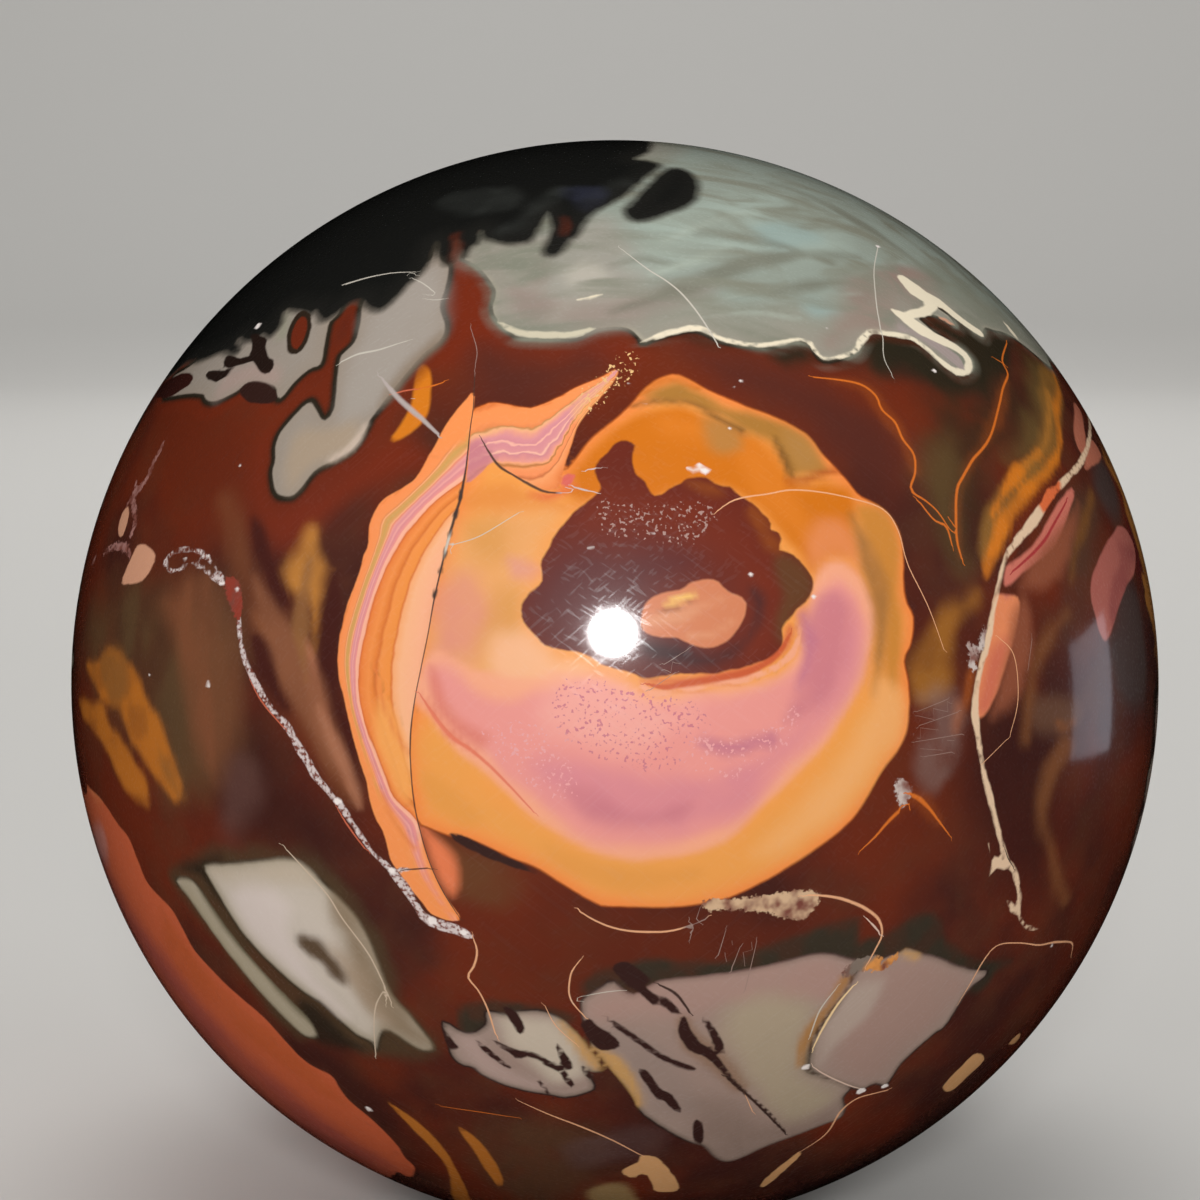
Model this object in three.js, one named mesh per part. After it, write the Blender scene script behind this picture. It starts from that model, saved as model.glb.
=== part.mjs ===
// A polished sphere of polychrome jasper, as one solid stone.
// Millimetres, +Z up. The origin is the centre of the small flat that the stone rests on.

import * as THREE from "three";

// Driving dimensions
const diameter = 80;
const restFlatDiameter = 8; // keeps the ball from rolling away; it is only 0.2 mm deep
const segmentsAround = 72;
const stepsPerQuarter = 18; // from the flat to the widest ring, and from there to the top

// Worked out from them
const radius = diameter / 2;
const restFlatRadius = restFlatDiameter / 2;
const centreHeight = Math.sqrt(radius ** 2 - restFlatRadius ** 2);
const restFlatAngle = Math.asin(restFlatRadius / radius);

// A point of the ball's outline, by its angle up from straight below the centre.
function outlinePoint(angle) {
  return new THREE.Vector2(radius * Math.sin(angle), centreHeight - radius * Math.cos(angle));
}

// Half of the stone's outline: out along the flat, then round the arc to the top.
function halfOutline() {
  const quarterTurn = Math.PI / 2;
  const points = [new THREE.Vector2(0, 0), new THREE.Vector2(restFlatRadius, 0)];
  for (let step = 1; step <= stepsPerQuarter; step++) {
    const share = step / stepsPerQuarter;
    points.push(outlinePoint(restFlatAngle + (quarterTurn - restFlatAngle) * share));
  }
  for (let step = 1; step < stepsPerQuarter; step++) {
    points.push(outlinePoint(quarterTurn + (quarterTurn * step) / stepsPerQuarter));
  }
  points.push(new THREE.Vector2(0, centreHeight + radius));
  return points;
}

// The stone: the outline turned round the vertical axis.
function jasperSphere() {
  const polishedJasper = new THREE.MeshStandardMaterial({
    color: 0x6e3320,
    roughness: 0.08,
    metalness: 0,
  });
  const mesh = new THREE.Mesh(new THREE.LatheGeometry(halfOutline(), segmentsAround), polishedJasper);
  mesh.name = "jasper_sphere";
  mesh.rotation.x = Math.PI / 2; // the lathe turns about Y, and the part stands on Z
  return mesh;
}

const stone = new THREE.Group();
stone.add(jasperSphere());

export default stone;
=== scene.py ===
# A polished ball of polychrome jasper: one solid stone, with its whole pattern in the colour of its skin.
import math
from functools import partial

import bpy
import numpy as np
from mathutils import Matrix, Vector


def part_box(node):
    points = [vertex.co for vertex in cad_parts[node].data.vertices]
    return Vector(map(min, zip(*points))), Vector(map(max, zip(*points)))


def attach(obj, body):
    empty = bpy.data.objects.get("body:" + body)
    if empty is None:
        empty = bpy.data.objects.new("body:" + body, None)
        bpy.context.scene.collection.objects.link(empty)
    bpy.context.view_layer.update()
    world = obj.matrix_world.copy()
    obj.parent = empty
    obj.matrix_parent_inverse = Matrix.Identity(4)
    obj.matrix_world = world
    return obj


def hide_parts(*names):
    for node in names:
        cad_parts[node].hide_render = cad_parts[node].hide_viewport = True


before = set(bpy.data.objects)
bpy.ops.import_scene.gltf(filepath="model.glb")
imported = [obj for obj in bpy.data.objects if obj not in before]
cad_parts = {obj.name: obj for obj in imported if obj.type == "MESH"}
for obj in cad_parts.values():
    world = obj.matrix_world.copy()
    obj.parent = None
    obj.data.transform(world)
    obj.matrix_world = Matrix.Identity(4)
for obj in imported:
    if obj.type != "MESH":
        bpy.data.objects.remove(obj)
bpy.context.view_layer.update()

stone = {
    "node": "jasper_sphere",
    "slot": "polished_jasper",
    "gridSteps": 314,  # squares along each side of the skin before it is folded round the ball
    "crowding": 0.26,  # how much closer together they stand in front than on the average
    "curveSteps": 4,  # short chords between two marked points
    "lineReach": 2.5,  # half widths from a line's middle that its colours may reach
    "lineMargin": 0.45,  # millimetres past that, in which a line's field is still worked out
    "fieldMargin": 0.6,  # and past the colours of any other shape
    "roughness": 0.085,
    "indexOfRefraction": 1.54,
    "haze": 0.4,
    "hazeRoughness": 0.4,
    "grains": {"wide": (75, 3), "mid": (260, 3), "fine": (900, 2), "grain": (4200, 1)},  # scale and detail
    "streakScale": 330,
    "streakLean": 12,  # degrees
    "streakStretch": (0.28, 1.0, 1.5),
    "veilFrom": (0.4, 0.7),  # strength of a grain at which its veil starts, and is whole
    "scratchTurns": (38, -42),  # degrees that the two sets of polishing scratches lean
    "scratchScale": 5200,
    "scratchLength": 25,  # in widths
    "scratchFrom": (0.62, 0.74),
    "scratchRoughness": 0.05,
    "scratchHaze": 0.35,
}

# The picture that the markings are drawn in, in pixels of its 1200 x 1200 frame.
picture = {
    "side": 1200,
    "ballCentre": (615, 684),
    "ballRadius": 543.5,
    "lens": 85,
    "sensor": 36,
    "elevation": 11,  # degrees that the camera looks down
}

low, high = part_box(stone["node"])
radius = (high.x - low.x) / 2
centre = np.array(((low.x + high.x) / 2, (low.y + high.y) / 2, high.z - radius))
millimetre = 0.001


def unit(vectors):
    return vectors / np.linalg.norm(vectors, axis=-1, keepdims=True)


# Camera place and axes, so that the ball's outline falls where the picture has it.
def cameraPose():
    pixels = picture["lens"] / picture["sensor"] * picture["side"]
    spread = math.atan(picture["ballRadius"] / pixels)
    distance = radius / math.sin(spread)
    tilt = math.radians(picture["elevation"])
    away = np.array((0, -math.cos(tilt), math.sin(tilt)))
    upward = np.array((0, math.sin(tilt), math.cos(tilt)))
    sideways = np.array((1.0, 0, 0))
    eye = centre + away * distance
    offset = np.array(picture["ballCentre"]) - picture["side"] / 2
    offset = offset * math.cos(spread) ** 2 / pixels * distance
    target = centre - sideways * offset[0] + upward * offset[1]
    forward = unit(target - eye)
    right = unit(np.cross(forward, (0, 0, 1)))
    return {"eye": eye, "forward": forward, "right": right, "up": np.cross(right, forward), "pixels": pixels}


pose = cameraPose()


# Directions from the ball's centre to spots marked in its picture, given as x, y, x, y and so on. A turn of
# 90 is the picture from the right side, and 180 the one from behind.
def marked(points, turn=0):
    points = np.array(points, float).reshape(-1, 2)
    half = picture["side"] / 2
    rays = pose["forward"] * pose["pixels"] + np.outer(points[:, 0] - half, pose["right"])
    rays = unit(rays - np.outer(points[:, 1] - half, pose["up"]))
    toBall = centre - pose["eye"]
    along = rays @ toBall
    miss = toBall @ toBall - along**2
    depth = np.sqrt(np.maximum(radius**2 - miss, 0))
    spots = unit(pose["eye"] + rays * (along - depth)[:, None] - centre)
    angle = math.radians(turn)
    across, along = math.cos(angle), math.sin(angle)
    return spots @ np.array(((across, along, 0), (-along, across, 0), (0, 0, 1)))


# A smooth curve through marked spots on the ball.
def curved(spots, closed):
    count = len(spots)
    if closed:
        before, here, after, later = (np.roll(spots, shift, axis=0) for shift in (1, 0, -1, -2))
    else:
        ends = np.vstack((2 * spots[0] - spots[1], spots, 2 * spots[-1] - spots[-2]))
        before, here, after, later = (ends[k:count - 1 + k] for k in range(4))
    chords = []
    for step in range(stone["curveSteps"]):
        t = step / stone["curveSteps"]
        bend = (2 * before - 5 * here + 4 * after - later) * t**2
        bend = bend + (3 * here - before - 3 * after + later) * t**3
        chords.append(here + ((after - before) * t + bend) / 2)
    path = np.stack(chords, axis=1).reshape(-1, spots.shape[1])
    return path if closed else np.vstack((path, spots[-1]))


# The ball's surface laid flat around one of its spots, in millimetres, true in distance from that spot.
def laidFlat(spots, middle):
    aside = unit(np.cross((0.02, 0.03, 1), middle))
    above = np.cross(middle, aside)
    angle = np.arccos(np.clip(spots @ middle, -1, 1))
    scale = radius / millimetre * angle / np.maximum(np.sin(angle), 1e-6)
    return np.stack((spots @ aside * scale, spots @ above * scale), axis=1)


# Distance in millimetres from each spot to a path of chords, the side it lies on, how far along that is, and
# whether it is inside.
def measured(spots, path, middle):
    flat, flatPath = laidFlat(spots, middle), laidFlat(path, middle)
    spots, path = spots * radius / millimetre, path * radius / millimetre
    nearest = np.full(len(spots), 1e6)
    side = np.ones(len(spots))
    share = np.zeros(len(spots))
    inside = np.zeros(len(spots), bool)
    for piece in np.array_split(np.arange(len(spots)), len(spots) // 5000 + 1):
        x, y, z = spots[piece].T
        u, v = flat[piece].T
        closest, sign, place, within = nearest[piece], side[piece], share[piece], inside[piece]
        for k in range(len(path) - 1):
            run, flatRun = path[k + 1] - path[k], flatPath[k + 1] - flatPath[k]
            away = x - path[k][0], y - path[k][1], z - path[k][2]
            along = (away[0] * run[0] + away[1] * run[1] + away[2] * run[2]) / max(run @ run, 1e-12)
            along = np.clip(along, 0, 1)
            gap = sum((part - along * step) ** 2 for part, step in zip(away, run))
            turn = flatRun[0] * (v - flatPath[k][1]) - flatRun[1] * (u - flatPath[k][0])
            closer = gap < closest
            closest = np.where(closer, gap, closest)
            sign = np.where(closer, turn, sign)
            place = np.where(closer, (k + along) / (len(path) - 1), place)
            crossed = (flatPath[k][1] > v) != (flatPath[k + 1][1] > v)
            within ^= crossed & ((turn > 0) == (flatRun[1] > 0))
        nearest[piece], side[piece] = np.sqrt(closest), np.sign(sign)
        share[piece], inside[piece] = place, within
    return nearest, side, share, inside


# The skin's points within a reach of some spots, and the spots' middle.
def nearby(skin, spots, reach):
    middle = unit(spots.mean(axis=0))
    widest = np.arccos(np.clip((unit(spots) @ middle).min(), -1, 1)) + reach * millimetre / radius
    return middle, np.nonzero(skin @ middle > math.cos(min(widest, math.pi * 0.98)))[0]


# Depth inside the nearest of some shapes, in millimetres, negative outside. A shape is a closed outline, a
# stroke given as its widths and its path, or a growth.
def depthField(skin, shapes, reach):
    field = np.full(len(skin), -reach)
    for shape in shapes:
        if callable(shape):
            field = np.maximum(field, shape(skin))
            continue
        stroke = isinstance(shape, tuple)
        path = curved(shape[1] if stroke else shape, closed=not stroke)
        if not stroke:
            path = np.vstack((path, path[0]))
        path = unit(path)
        middle, chosen = nearby(skin, path, reach + (max(shape[0]) if stroke else 0))
        gap, side, share, inside = measured(skin[chosen], path, middle)
        if stroke:
            depth = np.interp(share, np.linspace(0, 1, len(shape[0])), shape[0]) / 2 - gap
        else:
            depth = np.where(inside, gap, -gap)
        field[chosen] = np.maximum(field[chosen], depth)
    return field


# Distance from the nearest line in half widths, negative on its one side, and huge where no line is near.
def lineField(skin, strokes):
    field = np.full(len(skin), 1000.0)
    closest = np.full(len(skin), 1000.0)
    for widths, spots in strokes:
        path = unit(curved(spots, closed=False))
        middle, chosen = nearby(skin, path, max(widths) * stone["lineReach"] + 1)
        gap, side, share, inside = measured(skin[chosen], path, middle)
        half = np.interp(share, np.linspace(0, 1, len(widths)), widths) / 2
        better = gap < closest[chosen]
        near = gap < half * stone["lineReach"] + stone["lineMargin"]
        amount = np.where(near, gap / half, 1000) * side
        field[chosen[better]] = amount[better]
        closest[chosen[better]] = gap[better]
    return field


# How far across from one of three lines to the next each point of the skin lies: 0 to 0.5 between the first
# two, 0.5 to 1 between the second and the third. The middle line has the first on its left as it runs.
def acrossField(skin, lines):
    paths = [unit(curved(line, closed=False)) for line in lines]
    middle, chosen = nearby(skin, np.vstack(paths), 1)
    measures = [measured(skin[chosen], path, middle) for path in paths]
    first, second, third = (gap for gap, *rest in measures)
    side = measures[1][1]
    field = np.zeros(len(skin))
    field[chosen] = np.where(side > 0, first / (first + second), 1 + second / (second + third)) / 2
    return field


# Smooth random clouds between 0 and 1 over the skin, of a size in millimetres.
def clouds(skin, size, seed, stretch=(1, 1, 1)):
    total = np.zeros(len(skin))
    for octave, weight in enumerate((0.57, 0.29, 0.14)):
        lattice = np.random.default_rng(seed + octave).random((32, 32, 32))
        place = (skin / stretch + 2) * radius / millimetre / size * 2**octave
        corner = np.floor(place).astype(int)
        near = place - corner
        near = near * near * (3 - 2 * near)
        for k in range(8):
            step = np.array((k & 1, k >> 1 & 1, k >> 2))
            cell = (corner + step) % 32
            total += weight * lattice[tuple(cell.T)] * np.prod(np.where(step, near, 1 - near), axis=1)
    return np.clip((total - 0.5) * 1.6 + 0.5, 0, 1)


growth = {
    "spread": 1.6,  # how far past its reach a growth is worked out
    "thinning": 0.5,  # how much fullness it loses by its reach
    "bend": 1.2,  # how far its clouds are bent, and over what length, in sizes of a cloud
    "bendLength": 1.3,
    "depth": 1.3,  # of a whole cloud, in sizes
}


# A shape that isn't drawn but grows out of random clouds around a spot, and thins out toward its reach. Sizes
# are in millimetres, and more fullness leaves fewer gaps.
def grown(spot, reach, size, seed, fullness=0.5, stretch=(1, 1, 1)):
    def depth(skin):
        middle, chosen = nearby(skin, spot, reach * growth["spread"])
        place = skin[chosen]
        away = np.arccos(np.clip(place @ middle, -1, 1)) * radius / millimetre / reach
        bend = [clouds(place, size * growth["bendLength"], seed + 10 * axis) - 0.5 for axis in (1, 2, 3)]
        place = place + np.stack(bend, axis=1) * growth["bend"] * size * millimetre / radius
        solid = clouds(place, size, seed, stretch) + fullness - 1 - away**2 * growth["thinning"]
        field = np.full(len(skin), -1000.0)
        field[chosen] = solid * size * growth["depth"]
        return field
    return depth


def smooth(values, start, end):
    share = np.clip((values - start) / (end - start), 0, 1)
    return share * share * (3 - 2 * share)


# The colours of some washes laid over each other, with how much they cover, at every point of the skin.
def blendedWashes(skin, layers):
    colours = np.zeros((len(skin), 4))
    for number, layer in enumerate(layers):
        amount, size = layer["wander"]
        reach = layer["blur"] + amount + layer["grow"]
        field = depthField(skin, layer["shapes"], reach) + layer["grow"]
        touched = np.nonzero(field > layer["grow"] - reach)[0]
        spots = skin[touched]
        stray = (clouds(spots, size, number, layer["stretch"]) * 2 - 1) * amount if amount else 0
        cover = smooth(field[touched] + stray, -layer["blur"], layer["blur"]) * layer["cover"]
        if layer["patchy"]:
            gaps = smooth(clouds(spots, size * 0.8, number + 50, layer["stretch"]), 0.35, 0.7)
            cover *= 1 - layer["patchy"] * gaps
        total = cover + colours[touched, 3] * (1 - cover)
        share = (cover / np.maximum(total, 1e-6))[:, None]
        colours[touched, :3] += (np.array(tone(layer["colour"])[:3]) - colours[touched, :3]) * share
        colours[touched, 3] = total
    return colours


def tone(colour, cover=1.0):
    channels = [c / 255 for c in colour]
    return (*[c / 12.92 if c <= 0.04045 else ((c + 0.055) / 1.055) ** 2.4 for c in channels], cover)


def front(*points):
    return marked(points)


def behind(*points):
    return marked(points, 180)


def rightSide(*points):
    return marked(points, 90)


def leftSide(*points):
    return marked(points, 270)


def join(*runs):
    return np.vstack(runs)


markings = []
washes = {}
layers = {}


# A wash: a soft stain without an edge of its own, mixed with the others of its group at the skin's points. It
# may grow past its shapes.
def wash(group, colour, blur, cover, *shapes, wander=(0.4, 3), patchy=0, stretch=(1, 1, 1), grow=0):
    washes.setdefault(group, []).append({
        "colour": colour, "blur": blur, "cover": cover, "shapes": shapes, "wander": wander, "patchy": patchy,
        "stretch": stretch, "grow": grow})


# Paints a group of washes over what is painted already.
def paintWashes(group):
    markings.append({"kind": "wash", "name": group})


# A patch: closed outlines or strokes, painted by depth in mm inside them, with a group of washes over its own
# colours if it has one.
def patch(name, ramp, *shapes, wander=(0.25, "fine"), veil=None, fill=None):
    markings.append({"kind": "patch", "name": name, "ramp": ramp, "shapes": shapes, "wander": wander,
                     "veil": veil, "fill": fill})


# A banded patch: its colours go by how far across from one line to the next they lie, from 0 to 2.
def bands(name, outline, lines, stops, edge=0.07, wander=(0.08, "fine"), sway=0.03, fill=None):
    markings.append({"kind": "bands", "name": name, "ramp": [(-edge, None, 0), (edge, None, 1)],
                     "shapes": (outline,), "lines": lines, "stops": stops, "wander": wander, "sway": sway,
                     "veil": None, "fill": fill})


# Adds shapes to a patch that was made before.
def alsoOn(name, *shapes):
    for marking in markings:
        if marking["name"] == name:
            marking["shapes"] = (*marking["shapes"], *shapes)


# Adds shapes of one colour to a layer, whose shapes are all painted in one go.
def inlay(layer, colour, *shapes):
    layers.setdefault(layer, []).extend(shapes)
    wash(layer + "Tones", colour, 0.1, 1, *shapes, wander=(0, 1), grow=0.7)


# Paints a layer of crisp shapes.
def paintLayer(layer, edge, wander, veil=None, threshold=0):
    markings.append({"kind": "layer", "name": layer, "ramp": [(-edge, None, 0), (edge, None, 1)],
                     "threshold": threshold,
                     "shapes": layers[layer], "wander": wander, "veil": veil, "fill": layer + "Tones"})


# Paints a layer of fine lines, by distance from their middles in half widths.
def paintHairs(layer, wander):
    markings.append({"kind": "hairs", "name": layer, "ramp": [(0.3, None, 0.95), (1.4, None, 0)],
                     "shapes": layers[layer], "wander": wander, "veil": None, "fill": layer + "Tones"})


# The groups of washes and the layers of shapes, each by a name of its own.
smokeAndSheen, gold, zoneTone, eyeTone, ribbonTone, innerTone, topTone, stripTone, blackTone = (
    partial(wash, group) for group in ("smokes", "gold", "zoneTones", "eyeTones", "bandsTones", "innerTones",
                                       "topsTones", "stripTones", "blackTones"))
ribbon, mark, top, crystal, speck, hair, thread = (
    partial(inlay, layer) for layer in ("bands", "marks", "tops", "crystals", "specks", "hairs", "threads"))


print("stage: drawing the markings")

smokeAndSheen((116, 44, 20), 3.5, 0.85, front(440, 330, 500, 345, 640, 350, 760, 362, 860, 385, 940, 400, 930, 440,
    860, 420, 760, 400, 640, 372, 590, 385, 480, 402, 420, 400, 380, 450, 330, 490, 290, 520, 250, 500,
    255, 430, 310, 380, 380, 340), wander=(1.5, 7))
smokeAndSheen((122, 42, 18), 1.2, 0.9, front(448, 262, 456, 252, 466, 262, 484, 280, 488, 300, 492, 320, 520, 345,
    580, 345, 640, 345, 640, 358, 560, 360, 500, 352, 480, 340, 470, 360, 440, 365, 446, 330, 444, 300),
    front(262, 440, 266, 500, 290, 510, 320, 490, 360, 462, 400, 440, 420, 460, 380, 480, 330, 520,
    290, 545, 262, 530, 250, 500, 250, 460), wander=(0.8, 4))
smokeAndSheen((84, 42, 34), 2.5, 0.8, front(690, 352, 760, 372, 830, 392, 880, 420, 900, 450, 880, 480, 840, 450,
    800, 410, 740, 385), front(480, 350, 540, 360, 590, 352, 610, 366, 560, 388, 500, 398, 478, 392),
    wander=(1.5, 6))
smokeAndSheen((104, 40, 20), 3.5, 0.8, front(170, 405, 240, 410, 262, 450, 255, 520, 200, 540, 160, 520, 150, 460),
    front(560, 915, 700, 922, 830, 915, 900, 930, 850, 950, 760, 950, 640, 970, 560, 990, 500, 960),
    front(912, 720, 960, 720, 975, 800, 940, 860, 890, 840), wander=(1.5, 7))
smokeAndSheen((62, 28, 24), 3.0, 0.8, front(990, 720, 1040, 700, 1060, 800, 1040, 900, 1000, 860, 975, 780),
    front(260, 720, 310, 790, 350, 850, 300, 850, 250, 830, 235, 770), wander=(1.5, 7))
smokeAndSheen((44, 40, 28), 0.9, 0.95, front(757, 344, 765, 354, 780, 366, 796, 369, 815, 362, 840, 362, 862, 350,
    880, 368, 905, 372, 930, 384, 950, 392, 975, 392, 990, 400, 1004, 380, 1012, 350, 1018, 332, 960, 300,
    860, 320), front(654, 341, 668, 334, 690, 330, 712, 340, 720, 346, 700, 344, 675, 343, 656, 345),
    wander=(0.7, 3))
smokeAndSheen((66, 44, 28), 1.6, 0.85, front(930, 392, 985, 400, 1010, 372, 1030, 345, 1052, 370, 1040, 420,
    1020, 450, 985, 470, 975, 520, 960, 560, 950, 520, 945, 470, 925, 440), wander=(1.0, 4), patchy=0.5)
smokeAndSheen((98, 74, 47), 2.6, 0.8, front(92, 600, 108, 585, 150, 574, 190, 578, 216, 600, 229, 640, 235, 690,
    238, 730, 222, 778, 196, 800, 160, 795, 122, 740, 94, 690, 84, 640), wander=(1.6, 5), patchy=0.5,
    stretch=(0.7, 1, 1.8))
smokeAndSheen((132, 78, 50), 1.6, 0.9, front(160, 592, 180, 582, 204, 584, 222, 612, 230, 672, 226, 730, 210, 765,
    196, 740, 184, 690, 172, 640, 158, 612), wander=(1.2, 4), patchy=0.35, stretch=(0.6, 1, 2.4))
# painted reflection: a greyish-violet patch on the lower left, standing in for a hazy reflection
smokeAndSheen((106, 72, 64), 1.4, 0.6, front(236, 760, 252, 762, 258, 790, 246, 815, 228, 838, 222, 812),
    wander=(0.8, 4))
smokeAndSheen((122, 68, 40), 1.0, 0.85, front(218, 500, 232, 496, 242, 540, 258, 580, 272, 610, 288, 626, 300, 650,
    306, 690, 318, 720, 340, 760, 356, 796, 340, 788, 312, 752, 288, 710, 272, 662, 256, 622, 240, 590,
    226, 550), wander=(0.6, 4), patchy=0.3, stretch=(0.6, 1, 2.4))
smokeAndSheen((156, 96, 62), 0.8, 0.9, front(250, 610, 270, 622, 290, 630, 310, 640, 318, 680, 324, 712, 340, 745,
    326, 740, 306, 700, 270, 655), wander=(0.5, 3), patchy=0.3, stretch=(0.6, 1, 2.4))
smokeAndSheen((196, 128, 52), 0.6, 0.95, front(313, 530, 301, 545, 286, 560, 280, 574, 286, 590, 296, 598, 308, 602,
    312, 640, 306, 660, 316, 650, 320, 610, 326, 585, 330, 566, 322, 548), wander=(0.5, 3), patchy=0.2)
smokeAndSheen((196, 124, 92), 0.5, 0.9, ((0.4, 0.9, 1.3, 1.2, 0.8), front(305, 640, 316, 686, 326, 722, 340, 752,
    352, 786)), wander=(0.3, 3))
smokeAndSheen((72, 30, 24), 0.35, 0.95, front(250, 515, 262, 522, 270, 545, 279, 575, 286, 598, 284, 610, 277, 610,
    269, 594, 262, 570, 252, 545), ((0.6, 1.6, 1.4, 1.3, 1.2, 0.8), front(334, 578, 332, 610, 328, 650,
    330, 690, 344, 735, 358, 790)), front(252, 636, 266, 640, 276, 656, 284, 690, 292, 712, 278, 706,
    262, 680), wander=(0.25, 3))
smokeAndSheen((92, 70, 40), 1.6, 0.9, front(932, 445, 952, 440, 962, 470, 957, 500, 962, 540, 974, 566, 960, 570,
    945, 545, 932, 515, 922, 480), wander=(0.8, 4))
smokeAndSheen((108, 84, 46), 1.0, 0.8, front(1034, 360, 1046, 366, 1050, 400, 1044, 440, 1024, 462, 1006, 466,
    1000, 456, 1024, 436, 1028, 400), wander=(0.6, 3), patchy=0.3)
smokeAndSheen((196, 114, 34), 0.45, 0.92, front(112, 648, 124, 652, 136, 672, 148, 700, 162, 728, 170, 752,
    180, 784, 176, 796, 160, 780, 136, 748, 128, 728, 116, 706, 98, 690, 86, 664, 96, 660), front(80, 700,
    98, 704, 108, 722, 120, 742, 134, 762, 146, 782, 146, 804, 130, 790, 112, 764, 98, 738, 84, 720),
    wander=(0.45, 2.5), patchy=0.3)
smokeAndSheen((150, 96, 44), 0.6, 0.8, front(100, 660, 120, 655, 126, 690, 112, 700), front(156, 740, 178, 780,
    184, 800, 168, 790), wander=(0.5, 3))
smokeAndSheen((84, 58, 44), 1.4, 0.8, front(1068, 500, 1090, 492, 1104, 496, 1096, 540, 1086, 590, 1070, 640,
    1056, 620, 1060, 570), wander=(1.0, 4), patchy=0.4)
smokeAndSheen((126, 80, 38), 0.5, 0.8, ((0.4, 1.0, 0.8, 0.3), front(1092, 494, 1085, 520, 1076, 548, 1070, 580)))
smokeAndSheen((76, 62, 58), 1.0, 0.85, front(1120, 580, 1136, 590, 1144, 640, 1144, 700, 1124, 700, 1110, 650,
    1114, 610), front(1096, 462, 1108, 470, 1120, 505, 1112, 520, 1098, 500, 1090, 478), wander=(0.6, 4))
smokeAndSheen((96, 30, 28), 0.7, 0.9, front(1128, 520, 1138, 540, 1142, 575, 1132, 568, 1126, 545))
smokeAndSheen((158, 100, 38), 0.8, 0.95, front(914, 660, 924, 640, 938, 624, 946, 610, 966, 600, 978, 592, 974, 606,
    960, 617, 954, 632, 951, 660, 949, 690, 926, 702, 915, 684), wander=(0.6, 3), patchy=0.3)
smokeAndSheen((168, 84, 32), 0.4, 0.8, ((0.3, 0.5, 0.5, 0.3), front(974, 664, 970, 680, 966, 700, 960, 716)),
    ((0.6, 0.9, 0.6), front(958, 706, 957, 718, 955, 730)), wander=(0.2, 2))
# painted sheen: a pale grey haze where fine scratches catch the light
smokeAndSheen((140, 120, 112), 0.8, 0.4, front(916, 700, 936, 684, 956, 700, 966, 740, 950, 780, 930, 790, 918, 760,
    930, 730), wander=(0.5, 2), patchy=0.5)
smokeAndSheen((120, 84, 62), 0.9, 0.6, front(1036, 706, 1068, 702, 1078, 716, 1066, 732, 1040, 730),
    wander=(0.5, 3))
smokeAndSheen((156, 92, 46), 0.45, 0.7, ((0.3, 0.5, 0.4), front(1058, 724, 1066, 727, 1074, 722)), wander=(0.2, 2))
smokeAndSheen((92, 60, 40), 1.8, 0.9, front(470, 1130, 500, 1118, 540, 1120, 575, 1135, 590, 1165, 580, 1195,
    540, 1205, 500, 1200, 482, 1170), wander=(1.2, 4), patchy=0.4, stretch=(0.6, 1, 1.5))
smokeAndSheen((100, 76, 72), 0.9, 0.7, front(563, 1146, 600, 1132, 640, 1124, 668, 1132, 662, 1150, 620, 1158,
    580, 1165), wander=(0.6, 3), patchy=0.4, stretch=(2, 1, 0.6))
smokeAndSheen((158, 128, 84), 0.6, 0.9, front(590, 1196, 600, 1186, 618, 1183, 634, 1192, 636, 1202, 600, 1204),
    wander=(0.4, 2))
smokeAndSheen((134, 82, 46), 0.8, 0.75, ((0.4, 0.8, 1.0, 0.9, 0.6), front(1067, 614, 1054, 630, 1043, 648,
    1035, 665, 1031, 685, 1028, 710, 1027, 738)), ((1.8, 1.6, 1.1, 0.8, 0.6, 0.4), front(1066, 746,
    1054, 766, 1044, 796, 1043, 824, 1051, 850, 1058, 883, 1066, 901)), wander=(0.3, 2))
smokeAndSheen((190, 92, 26), 0.4, 0.22, ((0.5, 0.7, 0.8, 0.8, 0.6), front(831, 379, 864, 386, 882, 409, 900, 434,
    915, 470)), ((0.5, 0.8, 0.8, 0.8, 0.6), front(1006, 380, 994, 425, 968, 470, 957, 510, 960, 555)),
    ((0.4, 1.0, 0.9, 0.4), front(892, 818, 910, 798, 924, 804, 938, 822)), wander=(0.3, 2))
smokeAndSheen((58, 52, 40), 0.4, 0.95, front(592, 974, 612, 965, 668, 958, 706, 961, 732, 958, 783, 940, 798, 932,
    824, 922, 844, 918, 858, 920, 856, 938, 860, 946, 870, 940, 882, 938, 913, 920, 928, 917, 941, 921,
    943, 935, 955, 949, 974, 958, 990, 959, 1010, 962, 996, 972, 978, 990, 945, 985, 900, 975, 850, 975,
    780, 985, 700, 1000, 640, 1005, 600, 1010, 584, 995), front(458, 1004, 480, 1000, 520, 1002, 560, 1008,
    575, 1020, 540, 1030, 500, 1030, 470, 1040, 456, 1024), wander=(0.3, 2), patchy=0.3)
smokeAndSheen((82, 62, 42), 0.7, 0.95, front(168, 874, 182, 862, 205, 852, 250, 848, 300, 850, 328, 868, 352, 896,
    372, 926, 388, 958, 400, 990, 420, 1018, 440, 1040, 442, 1056, 420, 1060, 390, 1056, 360, 1052,
    330, 1030, 300, 1040, 280, 1020, 200, 920, 180, 896), wander=(0.5, 3), patchy=0.2)
smokeAndSheen((48, 38, 28), 0.6, 0.9, front(176, 868, 200, 858, 222, 856, 220, 876, 232, 905, 222, 905, 200, 880),
    front(300, 1000, 330, 1016, 350, 1038, 366, 1050, 340, 1050, 318, 1040, 305, 1022))
smokeAndSheen((110, 66, 38), 1.0, 0.9, front(438, 836, 460, 846, 500, 862, 520, 884, 500, 905, 470, 900, 448, 880,
    440, 858), wander=(0.6, 3), patchy=0.3)
paintWashes("smokes")

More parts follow.
